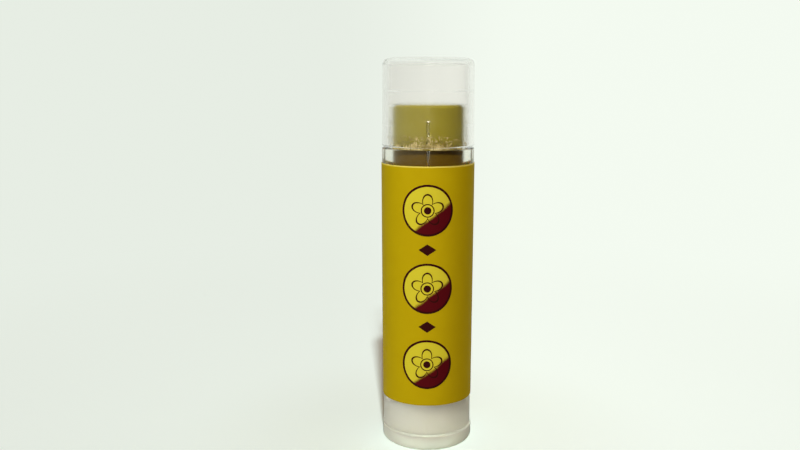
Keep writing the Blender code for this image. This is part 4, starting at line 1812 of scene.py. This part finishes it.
@dataclass
class Balm:
    """The cast balm: a stick round the screw, a plug in the cup, keys in its slots and a dished top."""

    elevator: Elevator
    span: Span = field(default_factory=lambda: Span.of("balm"))
    ribs: Ribs = field(default_factory=Ribs)
    radius: float = 6.10
    plug_radius: float = 5.10
    seat: float = 0.30
    dip: float = 0.20
    dip_share: float = 0.7
    edge_fillet: float = 0.50
    screw_room: float = 2.55
    screw_top: float = 50.80
    key_width: float = 1.40
    key_radius: float = 6.00
    key_edge: float = 0.15
    key_step: float = 0.01
    key_run_out: float = 0.02
    key_overrun: float = 1.00
    wall_reach: float = 0.03
    groove_fit: float = 0.03
    row_pitch: float = 1.20
    row_margin: float = 0.10
    dip_fillet: float = 1.50
    neck_fillet: float = 0.05
    cast_fillet: float = 0.10
    tip_fillet: float = 0.40

    def build(self, shop: Workshop) -> None:
        """Builds and dresses the balm.

        Args:
            shop: The finishes and trees.
        """
        bottom = self.span.bottom
        top = self.span.top
        rim = self.elevator.span.top
        hub = self.elevator.hub_radius + self.seat
        floor_top = self.elevator.span.bottom + self.elevator.skirt + self.elevator.floor
        hub_top = floor_top + self.elevator.hub_rise + self.seat
        sill = floor_top + self.elevator.slot_sill + self.seat
        groove_bottom = rim + self.seat
        groove_top = self.ribs.top + self.groove_fit
        upper_top = top - self.edge_fillet - self.row_margin
        grooved_top = groove_top - self.ribs.run_out
        grooved_bottom = groove_bottom + self.row_margin
        corners = [
            Corner(0.0, top - self.dip),
            Corner(self.radius * self.dip_share, top, self.dip_fillet),
            Corner(self.radius, top, self.edge_fillet),
            *wall(self.radius, upper_top, groove_top + self.groove_fit, self.row_pitch),
            *wall(self.radius, grooved_top, grooved_bottom, self.row_pitch),
            Corner(self.radius, groove_bottom),
            Corner(self.plug_radius, groove_bottom, self.neck_fillet),
            Corner(self.plug_radius, sill + self.key_step),
            Corner(self.plug_radius, sill - self.key_step),
            Corner(self.plug_radius, bottom, self.cast_fillet),
            Corner(hub, bottom, self.cast_fillet),
            Corner(hub, hub_top, self.cast_fillet),
            Corner(self.screw_room, hub_top, self.cast_fillet),
            Corner(self.screw_room, self.screw_top, self.tip_fillet),
            Corner(0.0, self.screw_top),
        ]
        piece = lathe("balm_core", corners, angles=self.ribs.angles(self.groove_fit, rounded=True))
        keys = {
            "Wall Radius": self.plug_radius,
            "Reach": self.wall_reach,
            "Growth": self.key_radius - self.plug_radius,
            "Half Width": self.key_width / 2.0,
            "Edge": self.key_edge,
            "Bottom": sill - self.key_step,
            "Top": groove_bottom + self.key_overrun,
            "Run Out": self.key_run_out,
        }
        places = {"Count": self.ribs.count, "First Angle": math.pi / self.ribs.count}
        run_tree(piece, shop.flutes, shop.wax, keys, places)
        depth = self.ribs.height + self.groove_fit - (self.ribs.bore - self.radius)
        reach = (groove_bottom - self.ribs.run_out, groove_top)
        self.ribs.cut(piece, shop, shop.wax, self.radius, -depth, self.groove_fit, reach, rounded=True)
        settle(piece, Body.STICK, "balm")


@dataclass
class Cap:
    """The clear cap: drafted wall, softened crown, roof, inner step and the groove for the bead."""

    barrel: Barrel
    span: Span = field(default_factory=lambda: Span.of("cap"))
    bore: float = 7.03
    draft: float = 0.13
    roof: float = 0.95
    crown_width: float = 1.80
    crown_drop: float = 0.33
    crown_fillet: float = 2.40
    edge_width: float = 0.40
    edge_drop: float = 0.62
    edge_fillet: float = 0.60
    roof_fillet: float = 0.60
    step_rise: float = 2.20
    step: float = 0.18
    groove_depth: float = 0.10
    mouth_fillet: float = 0.15
    mouth_chamfer: float = 0.20
    gate_radius: float = 0.45
    gate_depth: float = 0.08
    gate_flare: float = 0.08
    fine_fillet: float = 0.04

    def build(self, shop: Workshop) -> None:
        """Builds and dresses the cap.

        Args:
            shop: The finishes and trees.
        """
        mouth = self.span.bottom
        top = self.span.top
        rim = self.barrel.span.top
        outer = self.span.radius
        crown = outer - self.draft
        upper_bore = self.bore - self.step
        groove = rim - self.barrel.neck_length + self.barrel.bead_rise
        under_roof = top - self.roof
        corners = [
            Corner(0.0, top - self.gate_depth),
            Corner(self.gate_radius, top - self.gate_depth, self.fine_fillet),
            Corner(self.gate_radius + self.gate_flare, top, self.fine_fillet),
            Corner(crown - self.crown_width, top, self.crown_fillet),
            Corner(crown - self.edge_width, top - self.crown_drop, self.edge_fillet),
            Corner(crown, top - self.crown_drop - self.edge_drop, self.edge_fillet),
            Corner(outer, mouth, self.mouth_fillet),
            Corner(self.bore + self.mouth_chamfer, mouth, self.fine_fillet),
            Corner(self.bore, mouth + self.mouth_chamfer, self.fine_fillet),
            *bead(self.bore, groove, self.barrel.bead_length, self.groove_depth),
            Corner(self.bore, rim + self.step_rise, self.fine_fillet),
            Corner(upper_bore, rim + self.step_rise + self.step, self.fine_fillet),
            Corner(upper_bore, under_roof, self.roof_fillet),
            Corner(0.0, under_roof),
        ]
        piece = lathe("cap_shell", corners)
        piece.data.materials.append(shop.cap_plastic)
        settle(piece, Body.CAP, "cap")


@dataclass(frozen=True)
class Lamp:
    """A square lamp that faces the middle of the stick, with its place and its side in metres."""

    name: str
    place: tuple[float, float, float]
    size: float
    power: float
    colour: Colour
    only_gloss: bool = False

    def hang(self) -> bpy.types.Object:
        """Hangs the lamp, unseen, for matt surfaces alone or for gloss alone.

        Returns:
            The lamp.
        """
        data = bpy.data.lights.new(self.name, "AREA")
        data.shape = "SQUARE"
        data.size = self.size
        data.energy = self.power
        data.color = self.colour
        lamp = bpy.data.objects.new(self.name, data)
        lamp.location = self.place
        aim = Vector(MIDDLE) - Vector(self.place)
        lamp.rotation_euler = aim.to_track_quat("-Z", "Y").to_euler()
        lamp.visible_camera = False
        lamp.visible_transmission = False
        lamp.visible_glossy = self.only_gloss
        lamp.visible_diffuse = not self.only_gloss
        if self.only_gloss:
            self.keep_off_matt_surfaces(data)
        bpy.context.scene.collection.objects.link(lamp)
        return lamp

    def keep_off_matt_surfaces(self, data: bpy.types.Light) -> None:
        """Ends the light at the first matt surface, so that it gives glints and no light behind glass."""
        data.use_nodes = True
        sheet = Sheet(data.node_tree)
        path = sheet.node("ShaderNodeLightPath")
        first = sheet.sum("LESS_THAN", path.outputs["Diffuse Depth"], HALF_A_BOUNCE)
        sheet.feed(data.node_tree.nodes["Emission"].inputs["Strength"], first)

    def level_on_floor(self, sheet: Sheet, place: object) -> Socket:
        """Works out how light the lamp makes the floor, from its height over the cube of its distance.

        Args:
            sheet: The floor's tree.
            place: The place on the floor.

        Returns:
            The level as a colour, where 1 shows a surface as it is written.
        """
        fall = sheet.sum("POWER", sheet.reckon("DISTANCE", place, self.place), -3.0)
        level = sheet.sum("MULTIPLY", fall, self.power * self.place[2] / math.pi**2)
        return sheet.reckon("SCALE", self.colour, level)


@dataclass
class Studio:
    """The plain pale floor, the soft light and the camera at the photograph's angle."""

    backdrop: Colour = (0.850, 0.905, 0.825)
    ambient: Colour = (0.12, 0.06, 0.03)
    soft_light: Lamp = Lamp("soft_light", (-0.44, -0.37, 0.24), 0.34, 1.75, (0.98, 1.0, 0.95))
    back_light: Lamp = Lamp("back_light", (0.29, 0.39, 0.22), 0.34, 1.50, (0.98, 1.0, 0.93))
    small_light: Lamp = Lamp("small_light", (0.0056, -0.175, 0.205), 0.010, 0.47, (1.0, 0.89, 0.77))
    glint: Lamp = Lamp("glint_lamp", (0.004, -0.175, 0.140), 0.013, 0.13, (1.0, 0.95, 0.80), True)
    streak: Lamp = Lamp("streak_lamp", (0.008, -0.175, 0.064), 0.018, 0.002, (1.0, 1.0, 0.95), True)
    floor_radius: float = 3.0
    floor_segments: int = 96
    shaded_radius: float = 0.05
    lit_radius: float = 0.20
    least_glow: float = 0.13
    returned_light: float = 0.06
    bounce: Colour = (0.84, 0.90, 0.80)
    left_level: float = 0.94
    right_level: float = 1.06
    lean_width: float = 0.12
    standoff: float = 0.16
    bright_way: tuple[float, float, float] = (-0.14, 0.99, 0.0)
    bright_edge: float = 0.62
    dim_edge: float = 0.34
    side_width: float = 0.60
    left_mirrored: float = 0.90
    right_mirrored: float = 0.10
    camera_place: tuple[float, float, float] = (0.0, -0.1566, 0.06555)
    camera_pitch: float = math.radians(9.65)
    camera_turn: float = math.radians(1.78)
    camera_nearest: float = 0.01
    camera_furthest: float = 20.0
    focal_length: float = 40.5
    sensor_width: float = 36.0

    def build(self) -> None:
        """Builds the stage."""
        self.build_camera()
        self.build_world()
        self.build_lamps(self.build_floor())
        bpy.context.scene.view_settings.view_transform = "Standard"

    def build_camera(self) -> None:
        """Sets the camera where the photograph was taken from."""
        data = bpy.data.cameras.new("camera")
        data.lens = self.focal_length
        data.sensor_width = self.sensor_width
        data.clip_start = self.camera_nearest
        data.clip_end = self.camera_furthest
        camera = bpy.data.objects.new("camera", data)
        camera.location = self.camera_place
        camera.rotation_euler = (math.pi / 2.0 - self.camera_pitch, 0.0, self.camera_turn)
        bpy.context.scene.collection.objects.link(camera)
        bpy.context.scene.camera = camera

    def build_world(self) -> None:
        """Shows the pale backdrop to what looks at it, and keeps the light that it gives low."""
        world = bpy.data.worlds.new("studio")
        world.use_nodes = True
        bpy.context.scene.world = world
        sheet = Sheet(world.node_tree)
        way = sheet.node("ShaderNodeTexCoord").outputs["Generated"]
        seen = world.node_tree.nodes["Background"]
        sheet.feed(seen.inputs["Color"], self.seen_colour(sheet, way, sheet.axes(way)[0]))
        given = sheet.node("ShaderNodeBackground")
        given.inputs["Color"].default_value = (*self.ambient, 1.0)
        mix = sheet.node("ShaderNodeMixShader")
        sheet.feed(mix.inputs["Fac"], self.looking(sheet))
        sheet.feed(mix.inputs[1], given.outputs["Background"])
        sheet.feed(mix.inputs[2], seen.outputs["Background"])
        sheet.feed(world.node_tree.nodes["World Output"].inputs["Surface"], mix.outputs["Shader"])

    def looking(self, sheet: Sheet) -> Socket:
        """Returns 1 for what the camera sees, straight, mirrored or through glass, and 0 for light.

        Args:
            sheet: The tree that asks.

        Returns:
            The value.
        """
        path = sheet.node("ShaderNodeLightPath")
        straight = sheet.sum("MAXIMUM", path.outputs["Is Camera Ray"], path.outputs["Is Glossy Ray"])
        any_look = sheet.sum("MAXIMUM", straight, path.outputs["Is Transmission Ray"])
        first = sheet.sum("LESS_THAN", path.outputs["Diffuse Depth"], HALF_A_BOUNCE)
        return sheet.sum("MULTIPLY", any_look, first)

    def seen_colour(self, sheet: Sheet, way: object, sideways: object) -> Socket:
        """Gives the backdrop's colour: a little paler to the right, and as bright as its side in a mirror.

        Args:
            sheet: The tree that asks.
            way: The way from the stick to what is seen.
            sideways: How far to the right that is, as a slope.

        Returns:
            The colour.
        """
        lean = sheet.ramp(sideways, -self.lean_width, self.lean_width)
        level = sheet.scaled(lean, self.left_level, self.right_level)
        echoes = sheet.node("ShaderNodeLightPath").outputs["Glossy Depth"]
        mirrored = sheet.sum("GREATER_THAN", echoes, HALF_A_BOUNCE)
        lost = sheet.sum("MULTIPLY", mirrored, sheet.sum("SUBTRACT", 1.0, self.mirrored_level(sheet, way)))
        level = sheet.sum("MULTIPLY", level, sheet.sum("SUBTRACT", 1.0, lost))
        return sheet.reckon("SCALE", self.backdrop, level)

    def mirrored_level(self, sheet: Sheet, way: object) -> Socket:
        """Says how bright the studio is that way round: full behind the stick, else dimmer towards the right.

        Args:
            sheet: The tree that asks.
            way: The way from the stick.

        Returns:
            The share of the full brightness.
        """
        x, y, _ = sheet.axes(way)
        level_way = sheet.reckon("NORMALIZE", sheet.vector(x, y, 0.0))
        towards = sheet.reckon("DOT_PRODUCT", level_way, self.bright_way)
        behind = sheet.ramp(towards, self.dim_edge, self.bright_edge)
        side = sheet.ramp(sheet.axes(level_way)[0], -self.side_width, self.side_width)
        around = sheet.scaled(side, self.left_mirrored, self.right_mirrored)
        return sheet.sum("MULTIPLY_ADD", behind, sheet.sum("SUBTRACT", 1.0, around), around)

    def build_floor(self) -> bpy.types.Object:
        """Lays a wide pale disc that takes shadows near the stick and fades into the backdrop further out.

        Returns:
            The floor.
        """
        mesh = bpy.data.meshes.new("floor")
        shape = bmesh.new()
        bmesh.ops.create_circle(shape, cap_ends=True, segments=self.floor_segments, radius=self.floor_radius)
        shape.to_mesh(mesh)
        shape.free()
        floor = bpy.data.objects.new("floor", mesh)
        bpy.context.scene.collection.objects.link(floor)
        material = bpy.data.materials.new("floor")
        material.use_nodes = True
        sheet = Sheet(material.node_tree)
        nodes = material.node_tree.nodes
        nodes.remove(nodes["Principled BSDF"])
        place = sheet.node("ShaderNodeTexCoord").outputs["Object"]
        far = sheet.reckon("LENGTH", place)
        slope = sheet.sum("DIVIDE", sheet.axes(place)[0], sheet.sum("ADD", far, self.standoff))
        wanted = self.seen_colour(sheet, place, slope)
        looking = self.looking(sheet)
        matt = sheet.node("ShaderNodeBsdfDiffuse")
        even = sheet.reckon("DIVIDE", wanted, self.light_on_floor(sheet, place))
        sheet.feed(matt.inputs["Color"], sheet.blend(looking, (*self.bounce, 1.0), even))
        glow = sheet.node("ShaderNodeEmission")
        sheet.feed(glow.inputs["Color"], wanted)
        sheet.feed(glow.inputs["Strength"], looking)
        mix = sheet.node("ShaderNodeMixShader")
        fade = sheet.ramp(far, self.shaded_radius, self.lit_radius)
        sheet.feed(mix.inputs["Fac"], sheet.sum("MAXIMUM", fade, self.least_glow))
        sheet.feed(mix.inputs[1], matt.outputs["BSDF"])
        sheet.feed(mix.inputs[2], glow.outputs["Emission"])
        sheet.feed(nodes["Material Output"].inputs["Surface"], mix.outputs["Shader"])
        mesh.materials.append(material)
        return floor

    def light_on_floor(self, sheet: Sheet, place: object) -> Socket:
        """Says how light the small lamp, the studio and the stick's own foot make the floor, to even it out.

        Args:
            sheet: The floor's tree.
            place: The place on the floor.

        Returns:
            The level as a colour.
        """
        open_floor = sheet.reckon("ADD", self.ambient, self.small_light.level_on_floor(sheet, place))
        near = sheet.sum("SUBTRACT", 1.0, sheet.ramp(sheet.reckon("LENGTH", place), 0.0, self.shaded_radius))
        returned = sheet.reckon("SCALE", (1.0, 1.0, 1.0), sheet.sum("MULTIPLY", near, self.returned_light))
        return sheet.reckon("ADD", open_floor, returned)

    def build_lamps(self, floor: bpy.types.Object) -> None:
        """Hangs soft lights at the left and behind, a small one above the camera, and two for gloss alone.

        The soft lights leave the floor alone, so that the stick throws the small lamp's shadow and no other.

        Args:
            floor: The floor.
        """
        for lamp in (self.small_light, self.glint, self.streak):
            lamp.hang()
        spared = bpy.data.collections.new("spared_by_soft_lights")
        spared.objects.link(floor)
        spared.collection_objects[0].light_linking.link_state = "EXCLUDE"
        for lamp in (self.soft_light, self.back_light):
            lamp.hang().light_linking.receiver_collection = spared


def main() -> None:
    """Builds the stage and every sub-assembly, in order from the foot up."""
    logging.basicConfig(level=logging.INFO, format="%(name)s: %(message)s")
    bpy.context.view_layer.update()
    Studio().build()
    shop = Workshop.build()
    barrel = Barrel()
    elevator = Elevator()
    Wheel().build(shop)
    barrel.build(shop)
    WaxSmear(barrel).build(shop)
    Label(barrel).build(shop)
    elevator.build(shop)
    Balm(elevator).build(shop)
    Cap(barrel).build(shop)


if __name__ == "__main__":
    main()
